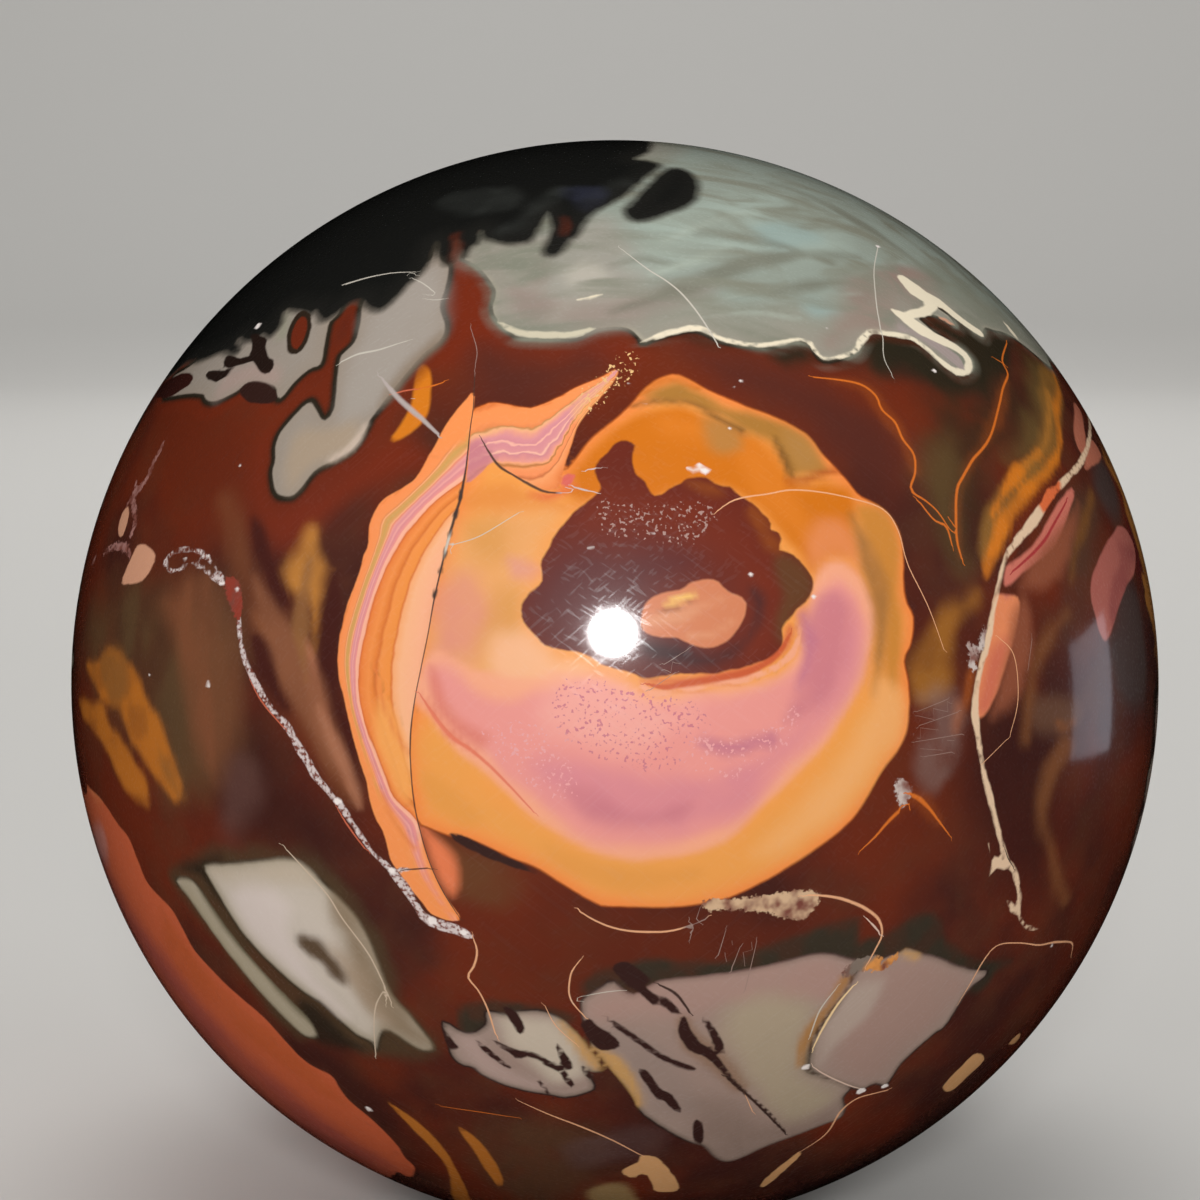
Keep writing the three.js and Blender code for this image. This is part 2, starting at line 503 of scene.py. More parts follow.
ribbon((206, 98, 60), join(front(76, 758, 81, 775, 93, 791, 106, 806, 119, 826, 129, 838, 139, 862,
    149, 885, 170, 908, 182, 928, 193, 949, 205, 964, 223, 982, 244, 1000, 264, 1018, 282, 1038, 305, 1061,
    318, 1069, 332, 1076, 339, 1088, 347, 1099, 374, 1122, 394, 1142, 404, 1157, 415, 1168, 408, 1177,
    390, 1176), behind(780, 1170, 800, 1110, 850, 1090, 880, 1040, 860, 1000, 900, 950, 950, 930, 960, 880,
    1010, 880, 1050, 830, 1080, 840), leftSide(420, 800, 446, 764, 486, 750, 520, 780, 536, 830, 580, 856,
    624, 840, 650, 800, 700, 796, 738, 824, 760, 870, 800, 890, 840, 872)))
# painted shade: the band drawn duller and darker along the ball's lower-left edge
ribbonTone((172, 82, 72), 2.0, 0.8, front(80, 800, 100, 850, 130, 910, 180, 980, 240, 1050, 310, 1110,
    380, 1160, 370, 1172, 280, 1130, 190, 1050, 120, 960, 80, 880), wander=(1.0, 5), patchy=0.3)
ribbonTone((188, 88, 40), 0.8, 0.6, front(160, 905, 200, 965, 250, 1010, 310, 1068, 345, 1105, 310, 1085,
    240, 1030, 180, 970), wander=(0.6, 3), patchy=0.3)
ribbon((188, 112, 40), front(384, 1098, 398, 1108, 415, 1120, 434, 1138, 450, 1158, 462, 1180, 470, 1202,
    455, 1202, 452, 1184, 444, 1164, 430, 1146, 412, 1128, 396, 1112), front(458, 1126, 474, 1136,
    488, 1152, 502, 1176, 500, 1188, 488, 1172, 474, 1150, 462, 1136))
ribbon((218, 124, 26), front(420, 366, 428, 370, 431, 384, 430, 404, 424, 420, 412, 432, 396, 441, 391, 438,
    400, 426, 410, 408, 414, 388))
ribbon((184, 108, 84), front(1074, 404, 1080, 410, 1084, 425, 1086, 440, 1084, 455, 1078, 448, 1074, 430),
    front(1090, 438, 1098, 448, 1101, 458, 1086, 470, 1086, 455))
ribbon((178, 100, 88), front(1118, 528, 1128, 532, 1135, 550, 1134, 572, 1126, 588, 1119, 606, 1113, 626,
    1106, 640, 1100, 632, 1096, 616, 1092, 600, 1091, 586, 1095, 570, 1103, 552, 1110, 538))
ribbonTone((150, 76, 72), 0.6, 0.8, front(1118, 540, 1134, 552, 1130, 580, 1114, 620, 1110, 590, 1120, 564),
    patchy=0.3)
ribbon((232, 138, 92), front(994, 597, 1006, 595, 1019, 597, 1020, 612, 1014, 640, 1005, 670, 994, 698,
    982, 716, 974, 712, 978, 690, 984, 660, 990, 630))
ribbonTone((206, 104, 82), 0.6, 0.8, front(990, 650, 1008, 640, 1000, 680, 988, 706, 980, 706, 984, 680),
    wander=(0.3, 3))
ribbon((208, 116, 98), front(1004, 584, 1007, 566, 1022, 556, 1036, 542, 1046, 527, 1054, 510, 1062, 498,
    1072, 488, 1074, 496, 1068, 514, 1062, 530, 1055, 543, 1045, 554, 1034, 564, 1022, 574, 1010, 584))
paintLayer("bands", edge=0.16, wander=(0.3, "mid"))

gold((142, 98, 44), 0.5, 0.95, front(1040, 366, 1054, 372, 1060, 390, 1060, 440, 1054, 466, 1030, 494,
    1008, 520, 996, 552, 986, 566, 978, 548, 984, 516, 998, 488, 1020, 462, 1036, 446, 1042, 418,
    1040, 390), patchy=0.2)
gold((216, 122, 30), 0.28, 0.95, ((0.2, 0.4, 0.5, 0.5, 0.6, 0.8, 1.2, 1.4, 1.3, 0.8, 0.4), front(1052, 370,
    1059, 392, 1056, 412, 1060, 438, 1054, 462, 1036, 484, 1018, 505, 1004, 524, 995, 546, 988, 566,
    986, 578)), ((0.3, 0.8, 0.6, 0.3), front(1040, 452, 1020, 470, 1004, 492, 992, 516)), wander=(0.25, 2),
    patchy=0.25)
gold((178, 116, 46), 0.3, 0.8, ((0.3, 0.6, 0.6, 0.3), front(1048, 392, 1049, 420, 1044, 446, 1024, 466)),
    wander=(0.2, 2), patchy=0.3)
gold((112, 44, 22), 0.35, 0.9, ((0.3, 0.7, 0.8, 0.5), front(1064, 470, 1044, 492, 1024, 520, 1008, 556)),
    wander=(0.3, 2))
paintWashes("gold")

taupeFinger = front(427, 262, 434, 250, 438, 238, 441, 258, 448, 264, 449, 272, 446, 288, 441, 302,
    441, 311, 445, 322, 445, 331, 440, 341, 420, 358, 379, 409, 371, 419, 366, 430, 353, 449, 334, 461,
    315, 471, 300, 490, 290, 497, 276, 493, 272, 472, 275, 460, 275, 446, 281, 431, 300, 409, 307, 403,
    313, 403, 321, 418, 327, 419, 333, 410, 335, 398, 339, 362, 342, 354, 350, 347, 356, 338, 360, 322,
    366, 296, 395, 275)
branched = front(165, 397, 172, 378, 190, 366, 235, 336, 262, 312, 300, 300, 340, 300, 338, 314, 330, 322,
    327, 334, 322, 362, 317, 367, 310, 369, 297, 380, 284, 396, 279, 399, 276, 395, 275, 388, 263, 382,
    247, 383, 236, 392, 218, 401, 210, 402, 205, 399, 203, 395, 190, 394)
patch("taupeZones", [(-1.6, (124, 42, 18), 0), (-0.6, (112, 40, 18), 0.7), (-0.22, (44, 36, 26), 1), (-0.02,
    (52, 44, 34), 1), (0.12, (158, 144, 130), 1), (1.5, (160, 148, 136), 1)], taupeFinger, branched,
    wander=(0.06, "fine"), fill="zoneTones")
zoneTone((170, 160, 150), 1.0, 0.7, front(430, 268, 444, 280, 440, 330, 410, 360, 375, 400, 345, 420,
    345, 380, 362, 340, 370, 312), wander=(0.8, 4), patchy=0.3, stretch=(0.8, 1, 1.6))
zoneTone((142, 124, 106), 0.6, 0.9, front(441, 330, 442, 342, 412, 370, 390, 398, 376, 408, 400, 372,
    424, 346), wander=(0.3, 3))
zoneTone((174, 152, 128), 0.8, 0.85, front(285, 455, 300, 432, 330, 425, 355, 420, 362, 430, 350, 448,
    335, 458, 312, 470, 295, 488, 284, 488), wander=(0.5, 3))
zoneTone((212, 190, 172), 0.3, 0.85, ((0.2, 0.5, 0.6, 0.3), front(330, 460, 345, 452, 357, 440, 366, 424)),
    wander=(0.15, 2))
zoneTone((176, 150, 140), 0.7, 0.7, front(230, 372, 262, 366, 280, 372, 276, 384, 250, 380, 230, 392,
    216, 396))
zoneTone((150, 148, 126), 0.6, 0.7, front(280, 316, 290, 312, 288, 335, 276, 340), wander=(0.3, 3))

sageEdge = front(464, 254, 470, 262, 479, 268, 493, 286, 495, 296, 492, 308, 497, 320, 512, 334, 524, 338,
    560, 339, 578, 338, 599, 329, 626, 328, 639, 338, 643, 344, 655, 339, 686, 331, 700, 332, 719, 341,
    731, 344, 760, 348, 776, 346, 790, 342, 804, 342, 812, 347, 817, 356, 824, 361, 834, 360, 854, 353,
    863, 338, 874, 330, 889, 334, 911, 338, 924, 346, 948, 367, 957, 374, 968, 371, 971, 362, 964, 352,
    937, 334, 926, 325, 919, 318, 925, 315, 936, 316, 956, 327, 949, 316, 939, 309, 932, 301, 937, 300,
    948, 309, 971, 329, 981, 336, 985, 328, 993, 330, 1004, 333, 1014, 338)
patch("sageZone", [(-1.0, (112, 42, 20), 0), (-0.4, (96, 40, 22), 0.4), (-0.15, (44, 36, 28), 1), (0,
    (70, 62, 50), 1), (0.1, (170, 162, 144), 1), (0.4, (154, 148, 134), 1), (2.5, (150, 150, 136), 1), (4,
    (150, 158, 146), 1)], join(sageEdge, rightSide(480, 396, 520, 388, 560, 420, 590, 470, 612, 476,
    628, 440, 668, 430, 700, 452, 716, 500, 744, 520, 764, 500, 770, 462, 810, 440, 850, 446, 880, 480,
    900, 520, 920, 500, 926, 452, 960, 430, 1000, 440), behind(300, 400, 420, 420, 520, 380, 560, 300,
    600, 220, 640, 160), front(640, 146, 560, 180, 500, 215)), wander=(0.04, "fine"), veil=((134, 134, 118),
    "streak"), fill="zoneTones")
zoneTone((166, 154, 142), 1.4, 0.9, front(468, 250, 500, 240, 560, 225, 610, 215, 640, 250, 640, 290,
    600, 325, 540, 334, 506, 322, 498, 300, 494, 280), wander=(1.0, 5), patchy=0.3, stretch=(2.0, 1, 0.8))
zoneTone((188, 180, 166), 0.9, 0.75, front(504, 252, 530, 250, 534, 268, 515, 276, 500, 266),
    front(560, 268, 596, 262, 610, 280, 580, 290), wander=(0.5, 3))
zoneTone((146, 128, 118), 0.8, 0.7, front(534, 262, 548, 262, 546, 282, 530, 284, 526, 272), front(560, 312,
    620, 300, 700, 282, 710, 292, 640, 318, 580, 326), front(505, 285, 540, 290, 560, 305, 540, 322,
    512, 316), wander=(0.5, 4), patchy=0.3)
zoneTone((166, 178, 166), 1.6, 0.85, front(640, 225, 690, 205, 740, 190, 800, 200, 845, 232, 850, 262,
    790, 268, 740, 258, 690, 262, 640, 262), wander=(1.2, 5), patchy=0.4, stretch=(2.4, 1, 0.7))
zoneTone((152, 172, 166), 0.9, 0.8, front(765, 225, 800, 226, 815, 240, 790, 252, 762, 244), front(806, 300,
    836, 306, 838, 316, 812, 318), wander=(0.6, 3), patchy=0.2, stretch=(2, 1, 0.8))
zoneTone((116, 114, 98), 0.45, 0.75, ((0.3, 1.6, 1.2, 0.5), front(612, 312, 660, 296, 700, 282, 745, 264,
    800, 254, 860, 258)), ((0.3, 0.8, 0.4), front(612, 266, 640, 260, 680, 266)), ((0.3, 0.9, 0.5),
    front(700, 232, 760, 240, 830, 262)), ((0.3, 1.0, 0.6, 0.3), front(770, 292, 820, 284, 860, 280,
    900, 268)), ((0.4, 1.4, 0.9), front(740, 176, 810, 196, 880, 236, 940, 280)), ((0.4, 1.2, 0.6),
    front(830, 186, 880, 212, 930, 246, 980, 290)), wander=(0.5, 3), patchy=0.35, stretch=(2, 1, 0.8))
zoneTone((152, 128, 116), 1.0, 0.85, front(845, 275, 900, 262, 935, 280, 925, 300, 900, 300, 890, 320,
    880, 330, 850, 335, 838, 352, 822, 352, 818, 335, 846, 310), wander=(0.8, 4), patchy=0.2)
zoneTone((150, 122, 112), 0.7, 0.5, front(850, 286, 874, 284, 872, 296, 852, 298), front(888, 268, 916, 268,
    912, 280, 890, 282), wander=(0.5, 3))
zoneTone((128, 130, 114), 1.2, 0.8, front(930, 262, 970, 285, 1000, 310, 1016, 334, 990, 326, 960, 308,
    936, 290), wander=(0.6, 4), patchy=0.3)
zoneTone((168, 152, 146), 0.3, 0.95, front(905, 318, 925, 334, 948, 350, 962, 362, 958, 368, 940, 354,
    915, 336, 896, 330), wander=(0.1, 2))
zoneTone((178, 188, 174), 0.35, 0.6, ((0.2, 0.6, 0.5, 0.2), front(664, 242, 700, 226, 740, 214, 790, 210)),
    ((0.2, 0.5, 0.2), front(650, 275, 690, 262, 730, 246)), ((0.2, 0.5, 0.4, 0.2), front(720, 300, 780, 290,
    830, 296, 860, 292)), ((0.2, 0.4, 0.2), front(700, 318, 750, 312, 800, 318)), patchy=0.3,
    stretch=(2, 1, 0.8))

ivory = front(203, 866, 218, 864, 262, 860, 287, 859, 302, 863, 327, 886, 353, 913, 372, 945, 391, 994,
    411, 1016, 430, 1040, 434, 1049, 424, 1051, 411, 1045, 390, 1031, 382, 1033, 377, 1050, 371, 1042,
    360, 1037, 349, 1029, 324, 1005, 311, 997, 297, 987, 267, 960, 240, 930, 210, 880)
ivoryStrip = front(176, 881, 186, 878, 197, 885, 217, 915, 243, 950, 299, 1010, 310, 1022, 317, 1036,
    306, 1036, 294, 1026, 264, 995, 216, 935, 190, 898)
patch("ivoryIslands", [(-0.25, (50, 40, 28), 0), (-0.02, (72, 60, 44), 0.95), (0.25, (176, 162, 142), 1),
    (0.9, (202, 188, 172), 1), (3, (208, 194, 180), 1)], ivory, ivoryStrip, wander=(0.08, "fine"),
    fill="zoneTones")
zoneTone((220, 204, 196), 0.9, 0.8, front(232, 890, 262, 884, 290, 905, 292, 940, 320, 985, 350, 1015,
    340, 1016, 300, 980, 262, 945, 240, 915), wander=(0.6, 4))
zoneTone((196, 178, 156), 0.9, 0.8, front(214, 870, 260, 866, 300, 868, 312, 885, 270, 880, 226, 880),
    wander=(0.5, 3))
zoneTone((140, 118, 92), 1.0, 0.9, front(330, 892, 352, 915, 368, 944, 380, 972, 392, 1000, 412, 1022,
    432, 1046, 410, 1040, 388, 1024, 366, 1000, 352, 975, 345, 945, 336, 920), wander=(0.5, 3))
zoneTone((172, 148, 124), 0.8, 0.7, front(330, 950, 352, 955, 376, 990, 392, 1022, 376, 1024, 350, 990))
zoneTone((86, 62, 38), 0.5, 0.95, ((1.2, 1.5, 1.0), front(306, 943, 314, 949, 322, 956)),
    ((0.7, 1.2, 1.5, 0.8), front(322, 956, 330, 964, 337, 973, 343, 981)), wander=(0.3, 1.5))
zoneTone((170, 156, 130), 0.6, 0.8, front(180, 884, 196, 888, 225, 935, 258, 968, 290, 1005, 312, 1030,
    300, 1030, 262, 994, 225, 950, 196, 910))
zoneTone((122, 112, 88), 0.35, 0.8, ((0.3, 0.7, 0.7, 0.6, 0.4), front(200, 890, 226, 928, 258, 964,
    286, 996, 312, 1024)), wander=(0.2, 2))

smallIsland = front(443, 1022, 456, 1029, 468, 1034, 480, 1030, 487, 1022, 486, 1012, 497, 1013, 507, 1016,
    517, 1012, 545, 1012, 569, 1026, 589, 1050, 599, 1064, 600, 1072, 584, 1068, 590, 1078, 594, 1088,
    584, 1093, 566, 1097, 553, 1095, 512, 1087, 484, 1075, 474, 1067, 461, 1064, 452, 1055, 449, 1045)
leftIsland = front(582, 1006, 584, 999, 604, 986, 612, 980, 622, 990, 634, 996, 655, 984, 670, 980,
    719, 975, 770, 966, 811, 955, 831, 955, 847, 959, 857, 963, 850, 976, 842, 994, 816, 1028, 808, 1046,
    803, 1063, 808, 1073, 821, 1077, 849, 1087, 842, 1098, 844, 1110, 838, 1119, 823, 1124, 770, 1144,
    746, 1155, 729, 1161, 716, 1157, 704, 1145, 688, 1141, 650, 1119, 640, 1109, 632, 1094, 602, 1056,
    592, 1046, 590, 1034, 584, 1022)
rightIsland = front(860, 968, 873, 964, 887, 957, 898, 953, 908, 948, 918, 953, 939, 959, 956, 966,
    974, 970, 987, 971, 983, 978, 974, 984, 964, 995, 945, 1026, 933, 1034, 903, 1061, 891, 1078, 885, 1085,
    875, 1083, 862, 1089, 850, 1086, 824, 1076, 811, 1068, 812, 1050, 820, 1030, 846, 995, 854, 978)
patch("greyIslands", [(-0.22, (52, 34, 30), 0), (-0.06, (52, 36, 32), 1), (0.1, (138, 118, 106), 1), (0.4,
    (166, 142, 130), 1), (2.2, (164, 138, 126), 1)], leftIsland, rightIsland, smallIsland,
    wander=(0.07, "fine"), fill="zoneTones")
zoneTone((178, 140, 128), 1.0, 0.8, front(650, 984, 720, 976, 800, 962, 850, 962, 838, 992, 800, 1000,
    740, 1000, 690, 1010, 600, 1020, 590, 1000), wander=(0.6, 4), patchy=0.2)
zoneTone((178, 160, 134), 1.2, 0.85, front(736, 1004, 770, 1000, 808, 1010, 800, 1040, 798, 1075, 830, 1095,
    810, 1115, 780, 1122, 755, 1090, 735, 1060, 722, 1030), wander=(0.7, 4))
zoneTone((146, 122, 110), 1.2, 0.8, front(690, 1100, 720, 1100, 760, 1125, 800, 1122, 838, 1104, 836, 1120,
    798, 1136, 730, 1162, 704, 1146), wander=(0.6, 4), patchy=0.3)
zoneTone((152, 132, 122), 1.0, 0.7, front(610, 1030, 650, 1040, 690, 1080, 700, 1110, 660, 1110, 630, 1070),
    wander=(0.6, 4), patchy=0.3)
zoneTone((170, 136, 124), 1.2, 0.8, front(870, 975, 915, 962, 965, 978, 945, 1010, 905, 1050, 880, 1075,
    840, 1072, 840, 1030), wander=(0.6, 4), patchy=0.2)
zoneTone((184, 164, 150), 0.7, 0.8, front(850, 995, 880, 985, 870, 1010, 835, 1050, 820, 1060, 826, 1030),
    wander=(0.5, 3))
zoneTone((204, 188, 168), 0.8, 0.9, front(500, 1018, 540, 1016, 566, 1028, 580, 1050, 585, 1075, 555, 1085,
    535, 1062, 510, 1040), wander=(0.5, 3))
zoneTone((186, 158, 148), 0.6, 0.8, front(460, 1040, 478, 1040, 510, 1075, 540, 1086, 500, 1078, 472, 1062))
zoneTone((206, 156, 92), 0.35, 0.9, ((0.3, 0.7, 0.8, 0.5), front(560, 1022, 576, 1040, 588, 1056,
    598, 1068)), ((0.4, 1.0, 1.1, 0.8, 0.4), front(596, 1048, 612, 1060, 626, 1076, 635, 1092, 638, 1104)),
    ((0.4, 0.5), front(904, 952, 916, 956)), wander=(0.2, 2))
zoneTone((174, 120, 60), 0.3, 0.85, ((0.5, 0.7, 0.8, 0.7, 0.5), front(846, 978, 832, 1002, 815, 1024,
    803, 1046, 800, 1064)), wander=(0.15, 2))
zoneTone((140, 104, 76), 0.35, 0.6, ((1.0, 1.6, 1.4, 1.0), front(684, 1022, 692, 1044, 716, 1060,
    740, 1086)), wander=(0.2, 2))

patch("eye", [(-0.18, (96, 44, 22), 0), (-0.03, (176, 84, 34), 1), (0.08, (246, 140, 68), 1), (0.6,
    (248, 150, 76), 1), (1.6, (246, 160, 78), 1)], front(473, 411, 484, 405, 496, 403, 524, 408, 537, 407,
    560, 397, 574, 389, 604, 376, 616, 370, 612, 382, 588, 410, 578, 423, 566, 456, 561, 474, 574, 462,
    590, 440, 617, 418, 630, 406, 641, 393, 655, 381, 670, 375, 682, 376, 710, 391, 747, 407, 767, 414,
    800, 430, 812, 440, 822, 454, 846, 480, 858, 495, 872, 502, 886, 512, 895, 524, 901, 540, 903, 560,
    903, 580, 906, 602, 913, 617, 911, 642, 904, 660, 908, 681, 909, 706, 906, 732, 896, 752, 882, 770,
    860, 808, 849, 822, 834, 835, 778, 873, 732, 896, 706, 902, 681, 906, 612, 906, 598, 904, 579, 894,
    538, 868, 512, 858, 487, 846, 464, 837, 452, 836, 428, 827, 419, 822, 414, 800, 410, 743, 418, 681,
    430, 622, 448, 539, 456, 516, 465, 472, 471, 426), wander=(0.06, "fine"), fill="eyeTones")
# the ring's own golden and peach tones
eyeTone((240, 162, 80), 0.9, 0.8, front(424, 735, 450, 752, 480, 780, 520, 812, 560, 842, 610, 858,
    660, 862, 720, 850, 775, 812, 820, 765, 850, 725, 895, 690, 898, 740, 862, 795, 826, 832, 760, 874,
    690, 896, 610, 896, 545, 864, 480, 834, 430, 815, 420, 780), wander=(0.6, 4), patchy=0.3)
eyeTone((232, 154, 72), 0.6, 0.7, front(545, 842, 580, 860, 640, 870, 700, 866, 690, 884, 610, 888,
    560, 868), front(424, 775, 450, 790, 480, 815, 470, 824, 436, 806))
eyeTone((246, 178, 112), 1.2, 0.8, front(760, 850, 800, 818, 840, 770, 870, 720, 888, 712, 870, 765,
    830, 815, 780, 850), wander=(0.6, 4))
eyeTone((238, 168, 104), 1.3, 0.95, front(444, 590, 452, 552, 466, 525, 500, 508, 560, 505, 560, 530,
    545, 555, 530, 590, 520, 615, 530, 640, 548, 655, 530, 690, 480, 690, 440, 672, 430, 640),
    wander=(0.8, 4))
eyeTone((228, 146, 128), 0.9, 0.8, front(440, 600, 466, 575, 490, 590, 500, 620, 480, 655, 452, 660,
    434, 650), wander=(0.7, 3), patchy=0.2)
eyeTone((220, 152, 76), 0.9, 0.7, front(462, 520, 500, 512, 520, 530, 505, 560, 480, 560, 462, 545),
    front(500, 592, 520, 588, 524, 610, 520, 640, 500, 640, 480, 655, 478, 640), wander=(0.6, 3),
    patchy=0.2)
eyeTone((232, 142, 66), 0.6, 0.8, front(466, 494, 510, 482, 560, 500, 590, 498, 575, 512, 520, 508,
    470, 512))
eyeTone((226, 150, 142), 0.5, 0.6, front(508, 556, 530, 560, 540, 570, 528, 580, 510, 576), wander=(0.4, 2))
eyeTone((250, 188, 146), 0.9, 0.8, front(500, 640, 530, 632, 552, 652, 590, 668, 560, 690, 520, 690,
    490, 675), wander=(0.5, 3))
# the pink heart
eyeTone((248, 170, 136), 0.35, 0.95, front(822, 566, 838, 560, 856, 570, 868, 588, 873, 612, 870, 642,
    862, 674, 850, 704, 834, 734, 817, 755, 797, 773, 778, 793, 742, 827, 714, 846, 681, 856, 644, 861,
    608, 857, 578, 848, 552, 832, 526, 812, 480, 768, 462, 754, 444, 738, 428, 718, 415, 694, 424, 660,
    440, 648, 470, 668, 520, 676, 560, 672, 600, 676, 640, 692, 657, 696, 697, 690, 753, 682, 784, 670,
    800, 650, 806, 620, 814, 592), wander=(0.25, 3))
eyeTone((238, 152, 144), 0.6, 0.95, front(826, 584, 838, 576, 850, 583, 861, 598, 864, 618, 861, 644,
    841, 702, 825, 729, 809, 748, 790, 765, 736, 816, 710, 834, 680, 845, 645, 850, 612, 847, 584, 836,
    560, 820, 510, 780, 488, 758, 452, 724, 434, 700, 426, 670, 446, 664, 480, 690, 520, 700, 560, 688,
    600, 682, 632, 697, 657, 704, 697, 698, 753, 690, 790, 674, 806, 652, 812, 622, 818, 600),
    wander=(0.3, 3))
eyeTone((226, 128, 112), 0.5, 0.9, front(430, 668, 438, 678, 446, 700, 462, 720, 490, 735, 480, 748,
    464, 738, 448, 726, 434, 704), wander=(0.25, 3))
eyeTone((246, 172, 158), 1.2, 0.7, front(560, 690, 610, 690, 650, 706, 700, 705, 690, 730, 640, 745,
    580, 740, 540, 720), wander=(0.8, 4))
eyeTone((222, 138, 146), 1.1, 0.9, front(530, 765, 580, 760, 640, 772, 700, 776, 750, 760, 800, 722,
    832, 670, 850, 620, 856, 650, 838, 700, 806, 742, 770, 775, 735, 806, 690, 826, 640, 832, 600, 822,
    560, 796), wander=(0.8, 4), patchy=0.25)
eyeTone((208, 124, 134), 0.7, 0.85, front(806, 622, 820, 600, 834, 590, 846, 600, 850, 622, 842, 655,
    826, 690, 800, 716, 780, 724, 800, 690, 810, 660), front(570, 790, 600, 795, 640, 810, 690, 806,
    650, 826, 600, 818), wander=(0.5, 3), patchy=0.2)
eyeTone((196, 116, 138), 0.5, 0.8, ((0.5, 0.9, 0.7, 0.4), front(802, 616, 810, 640, 806, 668, 796, 690)),
    ((0.4, 0.8, 0.5), front(700, 742, 730, 748, 770, 740)), wander=(0.3, 2))
eyeTone((222, 112, 92), 0.2, 0.75, ((0.15, 0.3, 0.3, 0.3, 0.2), front(422, 696, 434, 715, 446, 732,
    460, 742, 474, 753)), wander=(0.15, 1))
# the golden top and the right rim
eyeTone((214, 116, 18), 0.6, 0.97, front(572, 474, 580, 458, 592, 446, 606, 436, 622, 422, 640, 411,
    665, 404, 690, 404, 710, 415, 740, 430, 765, 440, 785, 470, 800, 484, 840, 488, 852, 500, 850, 530,
    850, 552, 826, 556, 816, 575, 806, 570, 790, 540, 760, 505, 720, 488, 680, 488, 650, 498, 625, 480,
    600, 492, 585, 500, 572, 494, 576, 484))
eyeTone((226, 128, 38), 0.9, 0.8, front(740, 446, 772, 448, 786, 476, 800, 500, 812, 530, 800, 545,
    776, 515, 745, 480), front(660, 412, 700, 420, 700, 440, 660, 436), wander=(0.5, 3))
eyeTone((232, 140, 84), 0.9, 0.9, front(806, 548, 816, 524, 838, 520, 856, 540, 860, 566, 846, 560,
    832, 556, 820, 566, 812, 572))
eyeTone((172, 120, 52), 0.5, 0.95, front(646, 396, 660, 386, 680, 382, 700, 392, 722, 402, 784, 426,
    806, 438, 818, 456, 826, 470, 806, 474, 790, 476, 782, 456, 770, 438, 740, 430, 716, 416, 690, 404,
    662, 402), wander=(0.3, 3))
eyeTone((184, 132, 70), 0.7, 0.8, front(706, 420, 735, 430, 740, 446, 724, 456, 708, 442), front(784, 430,
    806, 440, 816, 460, 800, 470, 788, 452))
eyeTone((120, 80, 36), 0.28, 0.85, ((0.3, 0.45, 0.4, 0.3, 0.4, 0.3), front(634, 406, 650, 402, 672, 401,
    694, 404, 716, 417, 742, 431)), ((0.2, 0.5, 0.4), front(776, 440, 783, 456, 790, 474)),
    wander=(0.15, 2))
eyeTone((206, 112, 34), 0.25, 0.9, ((0.3, 0.4, 0.4, 0.3), front(640, 396, 656, 384, 676, 379, 700, 389)),
    wander=(0.1, 2))
eyeTone((176, 84, 30), 0.3, 0.85, ((0.3, 0.5, 0.5, 0.3), front(788, 482, 806, 480, 822, 473, 838, 470)),
    wander=(0.15, 2))
eyeTone((206, 134, 54), 0.5, 0.95, front(856, 506, 876, 506, 892, 524, 898, 556, 898, 590, 904, 620,
    902, 655, 896, 690, 888, 690, 884, 650, 884, 600, 876, 560, 864, 528), wander=(0.3, 3))
eyeTone((166, 112, 58), 0.5, 0.9, ((0.6, 1.2, 1.2, 1.1, 0.9, 0.6), front(852, 516, 864, 545, 878, 585,
    882, 625, 878, 665, 876, 690)), wander=(0.3, 3), patchy=0.2)
eyeTone((244, 172, 104), 0.7, 0.9, front(880, 684, 900, 690, 904, 710, 898, 738, 880, 750, 868, 740,
    872, 710))
eyeTone((226, 104, 62), 0.3, 0.8, ((0.2, 0.5, 0.4, 0.2), front(528, 494, 545, 497, 560, 492, 572, 486)),
    wander=(0.2, 2))
eyeTone((218, 112, 66), 0.25, 0.9, ((0.3, 0.6, 0.9, 0.7), front(644, 684, 680, 682, 730, 674, 770, 658)),
    ((0.6, 0.7, 0.4), front(770, 658, 785, 645, 790, 628)), wander=(0.15, 2))

inlay("inner", (110, 42, 28), front(619, 441, 630, 441, 635, 447, 632, 455, 633, 465, 636, 473, 643, 480,
    648, 488, 655, 495, 664, 492, 670, 487, 680, 484, 685, 479, 692, 477, 705, 477, 712, 482, 722, 486,
    731, 487, 737, 493, 748, 500, 758, 508, 765, 516, 771, 521, 771, 530, 778, 532, 781, 540, 779, 549,
    787, 552, 795, 556, 801, 562, 806, 569, 812, 578, 813, 590, 806, 601, 797, 610, 788, 619, 783, 628,
    782, 640, 779, 652, 769, 659, 755, 663, 740, 668, 720, 672, 700, 674, 680, 674, 660, 677, 645, 678,
    630, 672, 612, 668, 596, 660, 580, 652, 562, 649, 545, 645, 538, 638, 530, 628, 522, 618, 521, 607,
    525, 598, 533, 590, 541, 583, 541, 572, 541, 562, 548, 549, 552, 540, 560, 527, 570, 516, 582, 506,
    594, 496, 601, 489, 598, 480, 595, 473, 596, 465, 601, 458, 608, 452, 613, 446))
# the pupil's own maroon drawn a greyer mauve around the lamp's reflection, partly painted haze of that
# reflection
innerTone((92, 42, 42), 1.6, 0.8, front(545, 560, 580, 545, 640, 545, 690, 560, 660, 590, 645, 640,
    690, 655, 650, 668, 590, 652, 540, 630, 530, 600), wander=(1.0, 5), patchy=0.2)
innerTone((124, 46, 24), 1.2, 0.8, front(600, 480, 640, 500, 700, 510, 750, 520, 780, 570, 776, 630,
    750, 655, 745, 600, 720, 560, 660, 530, 600, 525, 580, 520), wander=(0.8, 4), patchy=0.3)
innerTone((104, 66, 38), 0.5, 0.9, front(780, 556, 796, 562, 810, 580, 808, 598, 790, 614, 782, 640,
    778, 620, 786, 595, 776, 570), wander=(0.3, 3))
